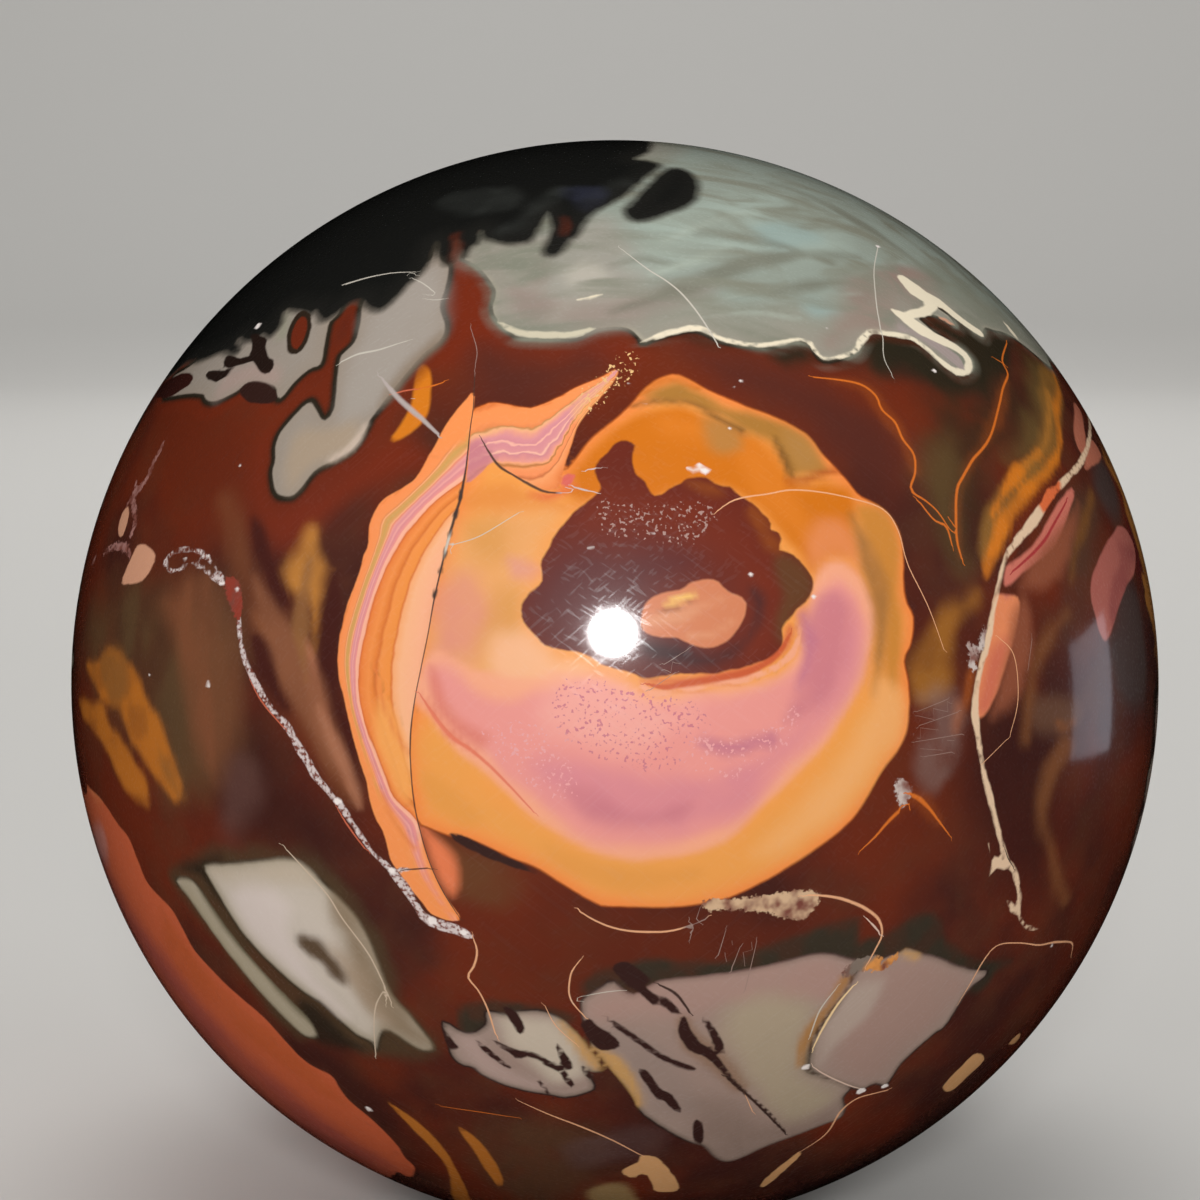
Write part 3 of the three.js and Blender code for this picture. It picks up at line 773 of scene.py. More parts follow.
innerTone((146, 72, 26), 0.4, 0.8, front(752, 508, 766, 520, 770, 532, 782, 542, 778, 552, 764, 545,
    752, 525), front(686, 480, 712, 482, 722, 494, 700, 492), wander=(0.3, 2), patchy=0.3)
innerTone((60, 40, 42), 0.6, 0.85, front(640, 640, 680, 646, 706, 656, 740, 640, 756, 610, 752, 590,
    762, 600, 760, 630, 735, 656, 700, 664, 650, 658), wander=(0.3, 3))
paintLayer("inner", edge=0.1, wander=(0.16, "fine"))

stripTone((250, 150, 84), 0.35, 0.97, front(474, 390, 450, 412, 430, 448, 440, 452, 456, 446, 470, 436),
    front(343, 704, 349, 700, 353, 722, 362, 746, 374, 770, 377, 787, 387, 803, 400, 818, 410, 840,
    420, 870, 444, 905, 458, 922, 438, 922, 412, 896, 384, 850, 364, 800, 350, 745), front(424, 832,
    436, 866, 460, 905, 464, 920, 450, 915, 430, 880, 420, 850), wander=(0.15, 2))
stripTone((250, 170, 92), 0.4, 0.85, front(378, 700, 390, 706, 402, 730, 410, 760, 411, 800, 400, 796,
    388, 772, 376, 740), wander=(0.2, 3))
stripTone((232, 130, 70), 0.16, 0.7, ((0.15, 0.25, 0.25, 0.15), front(374, 664, 384, 706, 398, 736,
    409, 754)), ((0.15, 0.3, 0.3, 0.2), front(382, 790, 390, 812, 402, 832, 414, 848)), wander=(0.1, 2))
bands("strip", front(474, 391, 463, 403, 452, 416, 441, 433, 433, 449, 416, 477, 404, 487, 381, 502,
    370, 523, 368, 546, 363, 556, 360, 570, 345, 612, 342, 627, 339, 640, 338, 671, 345, 703, 354, 742,
    366, 780, 370, 800, 376, 819, 384, 834, 390, 858, 397, 870, 424, 905, 432, 914, 450, 921, 461, 919,
    455, 909, 444, 893, 428, 858, 414, 805, 410, 740, 415, 700, 429, 628, 433, 603, 450, 532, 456, 515,
    467, 462, 471, 424, 474, 405), (front(441, 924, 415, 894, 388, 848, 370, 800, 345, 703, 338, 660,
    342, 627, 356, 583, 368, 546, 372, 513, 404, 487, 424, 464, 441, 433, 463, 403, 480, 385),
    front(456, 918, 436, 884, 424, 850, 417, 821, 394, 799, 384, 776, 362, 718, 357, 690, 359, 655,
    369, 613, 385, 567, 408, 530, 436, 500, 462, 481, 492, 462), front(462, 870, 448, 830, 438, 790,
    430, 700, 433, 650, 440, 602, 452, 562, 468, 530, 492, 505, 522, 486)), [(0, (236, 128, 62)), (0.06,
    (252, 148, 84)), (0.28, (250, 150, 88)), (0.32, (232, 140, 84)), (0.35, (250, 176, 124)), (0.38,
    (224, 158, 92)), (0.46, (212, 162, 92)), (0.53, (226, 160, 98)), (0.57, (248, 176, 132)), (0.6,
    (236, 138, 110)), (0.64, (236, 160, 150)), (0.7, (226, 144, 148)), (0.76, (240, 168, 158)), (0.8,
    (226, 142, 146)), (0.88, (238, 150, 142)), (0.92, (252, 184, 156)), (0.99, (252, 180, 148)), (1.02,
    (222, 112, 54)), (1.06, (240, 134, 66)), (1.16, (246, 148, 76)), (1.23, (236, 134, 62)), (1.27,
    (224, 120, 54)), (1.31, (246, 150, 76)), (1.44, (244, 148, 70)), (1.47, (226, 124, 60)), (1.5,
    (250, 172, 116)), (1.6, (252, 184, 138)), (1.8, (252, 180, 140)), (2, (246, 164, 128))],
    fill="stripTones")
bands("lobe", front(474, 411, 484, 405, 496, 403, 524, 408, 537, 407, 560, 397, 574, 389, 604, 376,
    618, 369, 613, 382, 589, 410, 579, 424, 573, 440, 562, 474, 560, 486, 552, 490, 540, 490, 526, 484,
    500, 468, 492, 462, 480, 474, 466, 484, 468, 466, 471, 426), (front(462, 412, 474, 411, 496, 403,
    537, 407, 560, 397, 590, 382, 620, 367), front(455, 492, 470, 477, 486, 465, 500, 462, 520, 464,
    540, 464, 552, 458, 561, 446, 569, 430, 580, 414, 608, 384, 620, 370), front(462, 520, 500, 505,
    530, 502, 556, 494, 565, 476, 578, 436, 588, 418, 616, 382, 622, 372)), [(0, (232, 124, 60)), (0.07,
    (252, 150, 86)), (0.32, (250, 150, 88)), (0.38, (238, 140, 84)), (0.41, (204, 140, 84)), (0.44,
    (246, 180, 130)), (0.5, (238, 160, 138)), (0.57, (226, 148, 150)), (0.64, (220, 140, 148)), (0.67,
    (250, 188, 164)), (0.7, (220, 142, 148)), (0.79, (226, 150, 150)), (0.82, (250, 192, 166)), (0.85,
    (214, 136, 142)), (0.94, (236, 156, 142)), (0.98, (246, 168, 118)), (1.03, (190, 120, 66)), (1.1,
    (248, 154, 98)), (1.3, (246, 146, 92)), (1.36, (212, 118, 70)), (1.42, (250, 162, 104)), (1.7,
    (242, 144, 84)), (2, (226, 116, 56))], sway=0.1, fill="lobeTones")
wash("lobeTones", (204, 126, 134), 0.25, 0.85, front(468, 446, 478, 440, 486, 450, 494, 462, 482, 472,
    466, 484), wander=(0.1, 2))
wash("lobeTones", (244, 180, 110), 0.3, 0.5, front(572, 410, 590, 392, 606, 380, 612, 384, 596, 402,
    580, 424), wander=(0.2, 2))

blackEdge = front(160, 382, 172, 374, 186, 362, 202, 360, 222, 352, 234, 354, 240, 349, 236, 343, 240, 338,
    247, 341, 256, 339, 262, 334, 268, 337, 275, 332, 281, 323, 283, 313, 290, 309, 311, 314, 316, 310,
    321, 319, 329, 318, 355, 300, 372, 309, 382, 309, 392, 301, 409, 283, 426, 267, 437, 241, 440, 255,
    446, 263, 451, 262, 453, 250, 457, 240, 464, 257, 467, 251, 471, 246, 478, 243, 480, 231, 485, 238,
    505, 243, 520, 243, 530, 240, 542, 221, 549, 212, 552, 232, 545, 251, 549, 255, 556, 254, 563, 248,
    569, 240, 577, 235, 581, 226, 593, 212, 622, 196, 654, 170, 660, 165, 648, 161, 634, 158, 650, 146)
patch("blackZone", [(-0.55, (92, 86, 74), 0), (-0.1, (58, 54, 46), 0.75), (0.25, (32, 31, 28), 1), (2,
    (24, 24, 22), 1)], join(blackEdge, behind(600, 190, 660, 260, 760, 300, 820, 270, 880, 330, 960, 350,
    1010, 400), leftSide(262, 430, 290, 470, 312, 520, 330, 528, 344, 480, 372, 446, 404, 460, 430, 500,
    446, 560, 462, 580, 474, 560, 470, 500, 492, 462, 530, 452, 560, 480, 584, 520, 604, 530, 616, 500,
    622, 466, 660, 452, 700, 470, 728, 474)), front(625, 210, 634, 202, 661, 175, 670, 169, 680, 169,
    690, 174, 697, 183, 696, 194, 690, 203, 676, 210, 645, 220, 631, 219), wander=(0.2, "fine"),
    fill="blackTones")
blackTone((62, 64, 60), 0.8, 0.5, ((0.3, 1.0, 1.2, 0.5), front(500, 232, 520, 222, 540, 205, 560, 190)),
    ((0.4, 0.8, 0.4), front(590, 200, 605, 190, 625, 182)), front(440, 200, 480, 190, 520, 196, 500, 212,
    460, 214), wander=(0.6, 3), patchy=0.5)
blackTone((52, 54, 70), 0.6, 0.5, front(560, 190, 600, 188, 606, 204, 580, 208), wander=(0.5, 2),
    patchy=0.5)
blackTone((96, 40, 22), 0.5, 0.8, ((0.4, 0.8, 0.5), front(454, 236, 456, 246, 456, 258)), ((0.2, 0.4, 0.2),
    front(566, 218, 567, 226, 566, 234)), wander=(0.3, 2))

# specks, shown only where the grain is strongest
speck((210, 124, 136), front(552, 690, 590, 676, 640, 690, 690, 700, 712, 730, 690, 760, 640, 772, 590, 756,
    560, 735))
speck((236, 166, 164), front(480, 735, 520, 720, 556, 740, 580, 790, 560, 800, 520, 780), front(700, 745,
    760, 730, 800, 700, 790, 740, 740, 780, 700, 780))
speck((236, 190, 130), front(575, 400, 600, 372, 622, 352, 640, 350, 636, 372, 612, 396, 590, 416))
# pale specks of small pits in the pupil, partly painted glints of light
speck((176, 140, 130), front(600, 500, 640, 505, 700, 500, 716, 520, 690, 545, 640, 540, 600, 530))
paintLayer("specks", edge=0.06, wander=(0.62, "grain"), threshold=0.22)

# crisp dark spots and pale rims on the zones
mark((40, 27, 22), front(251, 334, 266, 338, 266, 346, 268, 356, 274, 362, 272, 370, 266, 374, 260, 371,
    254, 363, 251, 356, 252, 344), front(225, 357, 224, 364, 229, 368, 250, 362, 258, 359, 252, 356,
    240, 358, 232, 356), front(206, 376, 210, 371, 228, 371, 231, 374, 221, 379, 217, 382, 211, 381))
mark((54, 32, 27), front(240, 392, 246, 384, 255, 381, 263, 383, 271, 387, 276, 391, 277, 399, 270, 403,
    258, 403, 248, 402))
mark((58, 26, 21), front(156, 396, 162, 386, 172, 378, 184, 373, 192, 375, 191, 383, 180, 391, 167, 398))
mark((50, 38, 28), front(287, 347, 287, 336, 290, 326, 295, 316, 302, 310, 310, 314, 311, 328, 308, 340,
    302, 350, 296, 354, 290, 353))
mark((60, 34, 30), front(587, 1018, 598, 1026, 608, 1032, 618, 1040, 619, 1046, 612, 1050, 600, 1050,
    592, 1044, 585, 1034, 580, 1024), front(612, 968, 625, 984, 640, 993, 648, 1001, 656, 1007, 660, 1002,
    652, 993, 645, 985, 652, 980, 640, 970, 625, 962), front(640, 1069, 646, 1070, 655, 1080, 662, 1090,
    672, 1095, 682, 1111, 674, 1110, 664, 1101, 655, 1097, 640, 1074), front(693, 1122, 700, 1121,
    704, 1131, 702, 1143, 694, 1141), front(502, 1006, 514, 1010, 522, 1020, 525, 1032, 518, 1034,
    510, 1020), front(555, 1044, 561, 1046, 568, 1057, 573, 1067, 566, 1070, 560, 1060), front(490, 1037,
    505, 1045, 518, 1050, 530, 1051, 542, 1056, 540, 1060, 528, 1056, 524, 1058, 516, 1058, 508, 1052,
    498, 1046), front(443, 1030, 450, 1036, 459, 1048, 450, 1049, 445, 1042), ((0.2, 0.4, 0.45, 0.4, 0.5,
    0.5), front(604, 1016, 620, 1028, 640, 1042, 660, 1056, 678, 1064, 692, 1069)), ((0.5, 0.6, 0.5),
    front(662, 999, 669, 1005, 676, 1012)), ((0.35, 0.5, 0.6, 0.4), front(704, 1019, 712, 1030, 718, 1042,
    722, 1053)), ((0.4, 0.9, 0.9, 0.7, 0.5, 0.4, 0.3, 0.3, 0.25, 0.2), front(683, 1018, 686, 1034,
    694, 1046, 708, 1053, 718, 1063, 728, 1076, 740, 1088, 755, 1101, 770, 1115, 786, 1133)),
    ((0.25, 0.4, 0.35), front(476, 1041, 490, 1053, 508, 1067)), ((0.3, 0.5, 0.5, 0.4, 0.5, 0.3),
    front(540, 1056, 546, 1062, 556, 1067, 563, 1072, 568, 1080, 572, 1086)), ((0.3, 0.5, 0.3),
    front(582, 1067, 588, 1074, 594, 1080)), ((0.2, 0.35, 0.2), front(538, 1080, 546, 1090, 553, 1099)))
mark((72, 58, 52), *[((0.26, 0.34, 0.26), front(*bead)) for bead in (((462, 488), (460, 500)), ((457, 510),
    (454, 520)), ((451, 530), (449, 538)), ((447, 545), (444, 558)), ((441, 568), (440, 574)), ((436, 588),
    (434, 598)))])
mark((62, 38, 34), ((0.2, 0.7, 0.7, 0.55, 0.4, 0.2), front(450, 835, 464, 841, 480, 849, 500, 858, 520, 866,
    538, 873)))
gold((238, 128, 82), 0.5, 0.95, front(418, 820, 446, 846, 456, 864, 459, 884, 452, 896, 440, 880, 428, 850),
    wander=(0.3, 3))
mark((240, 226, 198), ((1.2, 1.8, 1.5, 1.0, 0.9, 0.8, 0.7), front(905, 281, 914, 289, 926, 297, 938, 302,
    951, 312, 965, 323, 980, 333)), ((0.5, 1.1, 1.3, 1.0, 0.8, 0.7, 0.6, 0.6, 0.6), front(894, 311,
    905, 318, 919, 328, 934, 337, 949, 344, 962, 352, 969, 362, 965, 371, 956, 372)), ((0.5, 0.4, 0.4, 0.4,
    0.45, 0.5, 0.5), front(862, 340, 871, 332, 889, 334, 911, 338, 926, 348, 942, 362, 956, 372)),
    ((0.5, 0.7, 0.8, 0.7), front(902, 318, 914, 314, 926, 311, 934, 304)), ((0.15, 0.4, 0.5, 0.45, 0.35,
    0.3, 0.3, 0.35, 0.3, 0.25, 0.25), front(642, 342, 656, 337, 672, 332, 690, 328, 704, 329, 720, 338,
    740, 343, 760, 345, 780, 343, 796, 339, 810, 342)), ((0.3, 0.25, 0.2, 0.25, 0.3, 0.4), front(810, 342,
    818, 354, 828, 359, 844, 356, 855, 351, 860, 342)), ((0.3, 0.7, 0.4), front(1004, 322, 1012, 332,
    1017, 338)), ((0.2, 0.4, 0.2), front(578, 300, 590, 298, 600, 295)))
mark((208, 198, 172), ((0.15, 0.4, 0.5, 0.5, 0.45, 0.3), front(497, 320, 510, 329, 528, 334, 552, 335,
    576, 334, 594, 328)))
mark((218, 158, 126), front(139, 544, 149, 547, 156, 556, 152, 567, 143, 580, 134, 583, 122, 583, 127, 568,
    133, 554), front(127, 507, 129, 514, 125, 530, 121, 537, 118, 530, 121, 516))
mark((222, 166, 112), front(622, 1171, 629, 1166, 638, 1162, 641, 1156, 653, 1156, 662, 1162, 671, 1172,
    678, 1184, 678, 1190, 668, 1192, 655, 1191, 652, 1183, 648, 1176, 640, 1174, 634, 1178, 625, 1175),
    front(943, 1086, 951, 1091, 968, 1076, 984, 1060, 976, 1053, 960, 1068), front(760, 1186, 766, 1178,
    780, 1166, 799, 1152, 800, 1156, 786, 1169, 774, 1180, 764, 1187), front(1008, 1044, 1014, 1038,
    1020, 1033, 1017, 1042))
mark((232, 198, 164), ((0.35, 0.4, 0.45, 0.5, 0.4, 0.5, 0.6, 0.7, 0.8, 0.6, 0.5, 0.35, 0.3, 0.35, 0.35, 0.4,
    0.5, 0.5, 0.4, 0.4, 0.6, 0.45, 0.35, 0.35, 0.4, 0.45, 0.4, 0.35, 0.4, 0.45, 0.45, 0.4, 0.35, 0.3, 0.25,
    0.15), front(1088, 413, 1090, 430, 1088, 445, 1082, 460, 1072, 473, 1060, 485, 1050, 497, 1042, 508,
    1033, 521, 1025, 532, 1016, 542, 1008, 553, 1004, 564, 1000, 579, 996, 596, 993, 612, 990, 630,
    986, 648, 981, 666, 977, 686, 975, 712, 978, 735, 980, 750, 983, 768, 986, 783, 991, 800, 995, 817,
    999, 833, 1003, 848, 1007, 861, 1014, 871, 1018, 886, 1020, 900, 1019, 914, 1026, 926, 1042, 931)),
    front(988, 842, 992, 855, 1000, 858, 1009, 864, 1004, 870, 997, 868, 989, 876, 992, 864),
    ((0.25, 0.5, 0.3), front(1008, 901, 1012, 908, 1019, 913)))
mark((226, 110, 62), front(1042, 500, 1048, 489, 1056, 486, 1052, 495, 1046, 503))
mark((246, 168, 132), ((0.25, 0.5, 0.4, 0.4, 0.45, 0.4, 0.35, 0.3, 0.2), front(640, 685, 654, 693, 680, 690,
    710, 684, 740, 680, 768, 671, 788, 659, 797, 644, 801, 626)))
mark((222, 104, 92), front(561, 486, 562, 479, 568, 474, 575, 475, 573, 482, 567, 487))
paintLayer("marks", edge=0.1, wander=(0.14, "fine"))
top((112, 42, 22), front(293, 347, 291, 341, 293, 330, 297, 321, 303, 316, 307, 321, 306, 333, 302, 343,
    297, 349))
top((216, 132, 92), front(646, 603, 655, 596, 666, 592, 680, 590, 690, 583, 700, 580, 712, 579, 719, 582,
    724, 588, 730, 593, 740, 596, 746, 602, 746, 612, 742, 622, 736, 631, 728, 640, 718, 646, 706, 648,
    695, 646, 685, 642, 676, 638, 660, 637, 648, 634, 641, 627, 642, 614))
topTone((228, 158, 118), 0.3, 0.7, ((0.3, 0.7, 0.7, 0.4), front(650, 622, 680, 616, 704, 606, 722, 600)),
    ((0.3, 0.5, 0.3), front(690, 636, 712, 634, 732, 622)), wander=(0.25, 2))
topTone((246, 194, 108), 0.18, 0.95, ((0.2, 0.5, 0.5, 0.2), front(668, 604, 676, 600, 686, 597, 694, 594)),
    wander=(0.1, 1))
topTone((150, 92, 58), 0.14, 0.7, ((0.1, 0.2, 0.15), front(662, 612, 676, 609, 692, 601)), wander=(0.1, 1))
top((168, 152, 146), ((0.3, 0.6, 1.0, 1.2, 0.7), front(922, 338, 934, 344, 946, 352, 956, 360, 961, 366)))
top((216, 160, 130), ((0.2, 0.5, 0.2), front(938, 317, 947, 321, 955, 326)))
paintLayer("tops", edge=0.1, wander=(0.08, "fine"))

print("stage: drawing the lines")

# glassy healed cracks and crusts, broken up by grains
crystal((150, 60, 44), front(224, 582, 230, 577, 238, 581, 242, 594, 242, 608, 239, 624, 233, 612,
    227, 598))
inlay("silver", (216, 200, 196), ((0.25, 0.35, 0.3, 0.35, 0.25, 0.3), front(163, 564, 172, 553, 188, 549,
    204, 554, 214, 566, 222, 578)), ((0.25, 0.3, 0.25, 0.25, 0.35, 0.35), front(164, 565, 172, 571,
    186, 566, 198, 565, 208, 573, 222, 584)), ((0.25, 0.3, 0.35, 0.35, 0.45, 0.5, 0.4), front(239, 612,
    239, 626, 241, 642, 244, 657, 250, 672, 256, 684, 264, 698)), ((0.4, 0.35, 0.5, 0.55, 0.6, 0.6, 0.45,
    0.3, 0.35, 0.6, 0.4), front(264, 698, 272, 710, 284, 722, 292, 735, 300, 750, 309, 764, 317, 778,
    327, 790, 334, 799, 340, 805, 347, 816)), ((0.3, 0.3, 0.3, 0.35, 0.45, 0.6, 0.6, 0.45, 0.45),
    front(347, 816, 358, 832, 368, 847, 378, 858, 387, 866, 394, 875, 404, 886, 413, 900, 420, 912)),
    ((0.45, 0.7, 0.8, 0.7, 0.4), front(420, 914, 430, 921, 444, 926, 458, 930, 472, 937)), ((0.5, 0.4, 0.2),
    front(394, 874, 402, 870, 410, 869)))
crystal((170, 120, 112), ((0.3, 0.6, 0.5, 0.7, 0.4), front(165, 441, 154, 462, 146, 480, 136, 492,
    128, 504)), ((0.3, 0.6, 0.5, 0.5), front(136, 482, 133, 500, 135, 520, 131, 536)),
    ((0.3, 0.5, 0.6, 0.3), front(104, 552, 116, 546, 126, 548, 130, 556)), ((0.4, 0.8, 0.4), front(98, 514,
    94, 526, 90, 536)), ((0.3, 0.5), front(96, 556, 93, 562)))
crystal((214, 178, 142), front(701, 905, 709, 899, 732, 899, 757, 896, 783, 893, 800, 890, 814, 891,
    820, 896, 813, 911, 803, 919, 785, 918, 768, 913, 757, 912, 732, 909, 712, 911))
crystal((206, 190, 182), front(895, 786, 899, 779, 907, 781, 912, 791, 908, 800, 903, 808, 899, 802,
    896, 794), ((0.3, 0.6, 0.7, 0.4), front(968, 644, 973, 652, 972, 664, 975, 668)), ((0.3, 0.5, 0.3),
    front(985, 630, 982, 642, 978, 654)))
crystal((132, 116, 104), ((0.6, 1.0, 1.2, 0.7), front(846, 974, 856, 966, 868, 963, 878, 962)))
crystal((226, 150, 76), ((0.3, 0.6, 0.6, 0.3), front(874, 970, 884, 966, 892, 960, 898, 955)))
paintLayer("silver", edge=0.07, wander=(0.16, "fine"), veil=((122, 62, 48), "grain"))
paintLayer("crystals", edge=0.1, wander=(0.3, "grain"), veil=((126, 70, 58), "fine"))

hair((70, 56, 50), ((0.05, 0.06, 0.07, 0.08, 0.1, 0.14, 0.2, 0.22, 0.2, 0.22, 0.12, 0.1, 0.08, 0.08, 0.08,
    0.1, 0.1), front(475, 372, 474, 392, 473, 410, 470, 430, 468, 450, 466, 468, 463, 485, 460, 500,
    455, 516, 449, 537, 441, 569, 434, 600, 428, 634, 421, 668, 415, 698, 411, 728, 410, 752)), ((0.1, 0.08,
    0.08, 0.07, 0.07, 0.08, 0.08, 0.06), front(410, 752, 412, 785, 415, 808, 420, 830, 428, 858, 438, 882,
    448, 900, 460, 918)), ((0.08, 0.1, 0.05), front(1014, 868, 1008, 858, 1004, 846)))
hair((218, 112, 36), ((0.1, 0.16, 0.2, 0.2, 0.18, 0.22, 0.22, 0.2, 0.18, 0.2, 0.14, 0.12, 0.1),
    front(812, 377, 840, 380, 862, 385, 876, 396, 882, 410, 895, 422, 902, 438, 914, 455, 915, 473,
    911, 490, 926, 501, 938, 512, 950, 530)), ((0.12, 0.18, 0.2, 0.2, 0.2, 0.2, 0.22, 0.22, 0.22, 0.24,
    0.24, 0.22, 0.14), front(1007, 342, 1002, 360, 1008, 374, 1003, 388, 998, 410, 992, 432, 984, 447,
    974, 458, 964, 475, 957, 490, 956, 515, 957, 540, 962, 560)), ((0.3, 0.24, 0.16, 0.06), front(898, 812,
    887, 823, 875, 837, 859, 852)), ((0.3, 0.35, 0.25, 0.16, 0.08), front(912, 795, 920, 799, 929, 808,
    938, 820, 950, 836)), ((0.05, 0.09, 0.05), front(440, 1106, 480, 1112, 520, 1118)))
thread((218, 112, 36), ((0.12, 0.14, 0.2, 0.12), front(918, 500, 934, 520, 946, 526, 952, 545)),
    ((0.08, 0.14), front(994, 358, 1004, 364)), ((0.08, 0.14, 0.1), front(417, 389, 432, 386, 444, 382)))
thread((60, 38, 32), ((0.3, 0.22, 0.2, 0.16), front(728, 1078, 745, 1093, 763, 1110, 786, 1133)),
    ((0.16, 0.25, 0.16), front(660, 985, 676, 994, 690, 1012)))
thread((84, 60, 48), ((0.06, 0.16, 0.2, 0.14, 0.22, 0.18, 0.08), front(481, 438, 490, 454, 500, 467,
    515, 476, 530, 485, 546, 492, 564, 493)), ((0.06, 0.12, 0.1), front(402, 870, 415, 869, 430, 868)))
thread((186, 172, 166), ((0.1, 0.35, 0.4, 0.35, 0.2), front(380, 376, 392, 391, 406, 405, 422, 419,
    438, 434)))
thread((206, 190, 186), ((0.05, 0.14, 0.1, 0.05), front(570, 486, 584, 490, 600, 493)), ((0.05, 0.12, 0.05),
    front(584, 470, 600, 468)))
thread((232, 124, 96), ((0.1, 0.3, 0.3, 0.26, 0.2, 0.1), front(420, 694, 436, 718, 452, 737, 474, 752,
    502, 778, 534, 812)))
thread((168, 52, 54), ((0.14, 0.24, 0.28, 0.24, 0.14), front(1012, 572, 1029, 557, 1044, 541, 1055, 522,
    1067, 500)))
gold((150, 84, 58), 0.7, 0.85, ((0.6, 1.8, 2.2, 1.8, 0.6), front(1022, 588, 1040, 574, 1058, 552, 1070, 528,
    1078, 504)), ((0.6, 2.0, 1.8, 0.5), front(1024, 600, 1022, 640, 1010, 684, 992, 716)), wander=(0.5, 3))
smokeAndSheen((140, 86, 58), 0.55, 0.85, ((0.4, 1.4, 2.2, 2.6, 2.6, 2.2, 1.4, 0.4), front(254, 578, 266, 608,
    280, 640, 296, 672, 312, 704, 328, 738, 344, 770, 356, 800)), wander=(0.4, 4), patchy=0.3)
smokeAndSheen((176, 116, 86), 0.35, 0.75, ((0.3, 0.9, 1.1, 0.8, 0.3), front(318, 706, 330, 733, 343, 762, 352, 785,
    359, 806)), wander=(0.3, 3))
smokeAndSheen((150, 100, 56), 0.35, 0.8, ((0.3, 0.9, 1.0, 0.8, 0.4), front(310, 560, 304, 590, 300, 620, 301, 650,
    306, 680)), patchy=0.3)
thread((206, 92, 52), ((0.1, 0.4, 0.5, 0.5, 0.5, 0.4, 0.2), front(646, 683, 664, 687, 690, 683, 720, 678,
    750, 671, 776, 656, 790, 634)))
thread((250, 214, 160), ((0.12, 0.2, 0.2, 0.1), front(854, 985, 838, 1004, 824, 1026, 812, 1050)))
hair((206, 104, 74), ((0.08, 0.14, 0.12), front(392, 394, 404, 391, 416, 389)), ((0.06, 0.14, 0.1),
    front(336, 806, 348, 826, 366, 850)), ((0.06, 0.14, 0.1), front(250, 680, 262, 702, 284, 728)))
hair((238, 176, 132), ((0.06, 0.1, 0.12, 0.1, 0.12, 0.1, 0.1, 0.1, 0.09, 0.08, 0.07, 0.05), front(716, 512,
    730, 502, 746, 497, 768, 494, 790, 490, 820, 492, 858, 500, 884, 510, 898, 530, 908, 565, 928, 606,
    944, 650)), ((0.08, 0.14, 0.16, 0.14, 0.12, 0.12, 0.14, 0.1), front(473, 938, 477, 951, 474, 966,
    468, 977, 478, 990, 485, 1003, 490, 1016, 496, 1036)), ((0.1, 0.12, 0.14, 0.16, 0.14, 0.1),
    front(579, 911, 596, 921, 618, 929, 646, 932, 676, 930, 708, 918)), ((0.05, 0.12, 0.12, 0.08),
    front(582, 958, 571, 974, 570, 998, 586, 1018)), ((0.06, 0.12, 0.16, 0.14, 0.1), front(519, 1101,
    548, 1114, 582, 1127, 614, 1141, 643, 1156)), ((0.1, 0.18, 0.22, 0.24, 0.2, 0.14, 0.14, 0.08),
    front(806, 895, 826, 896, 846, 900, 866, 909, 879, 920, 882, 935, 875, 950, 866, 966)), ((0.05, 0.12,
    0.16, 0.1, 0.1, 0.14, 0.2, 0.16, 0.1), front(958, 1004, 970, 984, 984, 960, 998, 945, 1020, 943,
    1040, 945, 1056, 942, 1072, 943, 1071, 956)), ((0.08, 0.16, 0.2, 0.16, 0.14, 0.12), front(800, 1152,
    826, 1134, 840, 1112, 856, 1099, 872, 1094, 888, 1090)), ((0.05, 0.08, 0.08, 0.06), front(997, 636,
    1014, 655, 1018, 700, 1010, 735)), ((0.04, 0.06), front(1008, 738, 984, 762)), ((0.04, 0.08, 0.04),
    front(744, 1092, 751, 1108, 754, 1114)), ((0.05, 0.08, 0.05), front(545, 1006, 556, 1026, 576, 1044)))
hair((206, 184, 160), ((0.08, 0.12, 0.14, 0.12, 0.14, 0.12, 0.1), front(284, 847, 298, 862, 326, 893,
    342, 918, 366, 950, 380, 976, 392, 1004)), ((0.08, 0.12, 0.1, 0.1), front(384, 990, 376, 1005,
    374, 1028, 376, 1056)))
hair((206, 198, 184), ((0.05, 0.1, 0.12, 0.14, 0.12, 0.1), front(620, 248, 646, 268, 668, 282, 684, 296,
    700, 316, 718, 345)), ((0.08, 0.08, 0.1, 0.1, 0.08), front(878, 246, 874, 270, 876, 300, 880, 326,
    882, 334)), ((0.08, 0.08, 0.05), front(883, 338, 884, 358, 893, 376)), ((0.2, 0.14, 0.1, 0.05),
    front(346, 284, 366, 278, 392, 273, 415, 272)), ((0.12, 0.18, 0.16, 0.05), front(341, 362, 358, 354,
    378, 350, 410, 340)), ((0.05, 0.1, 0.08), front(412, 278, 424, 284, 434, 292)), ((0.04, 0.08, 0.06),
    front(425, 299, 436, 300, 443, 299)), ((0.05, 0.08, 0.04), front(584, 996, 606, 992, 626, 990)),
    ((0.06, 0.12, 0.1), front(838, 986, 820, 1010, 810, 1036)), ((0.05, 0.07, 0.05), front(452, 545,
    480, 536, 520, 512)))
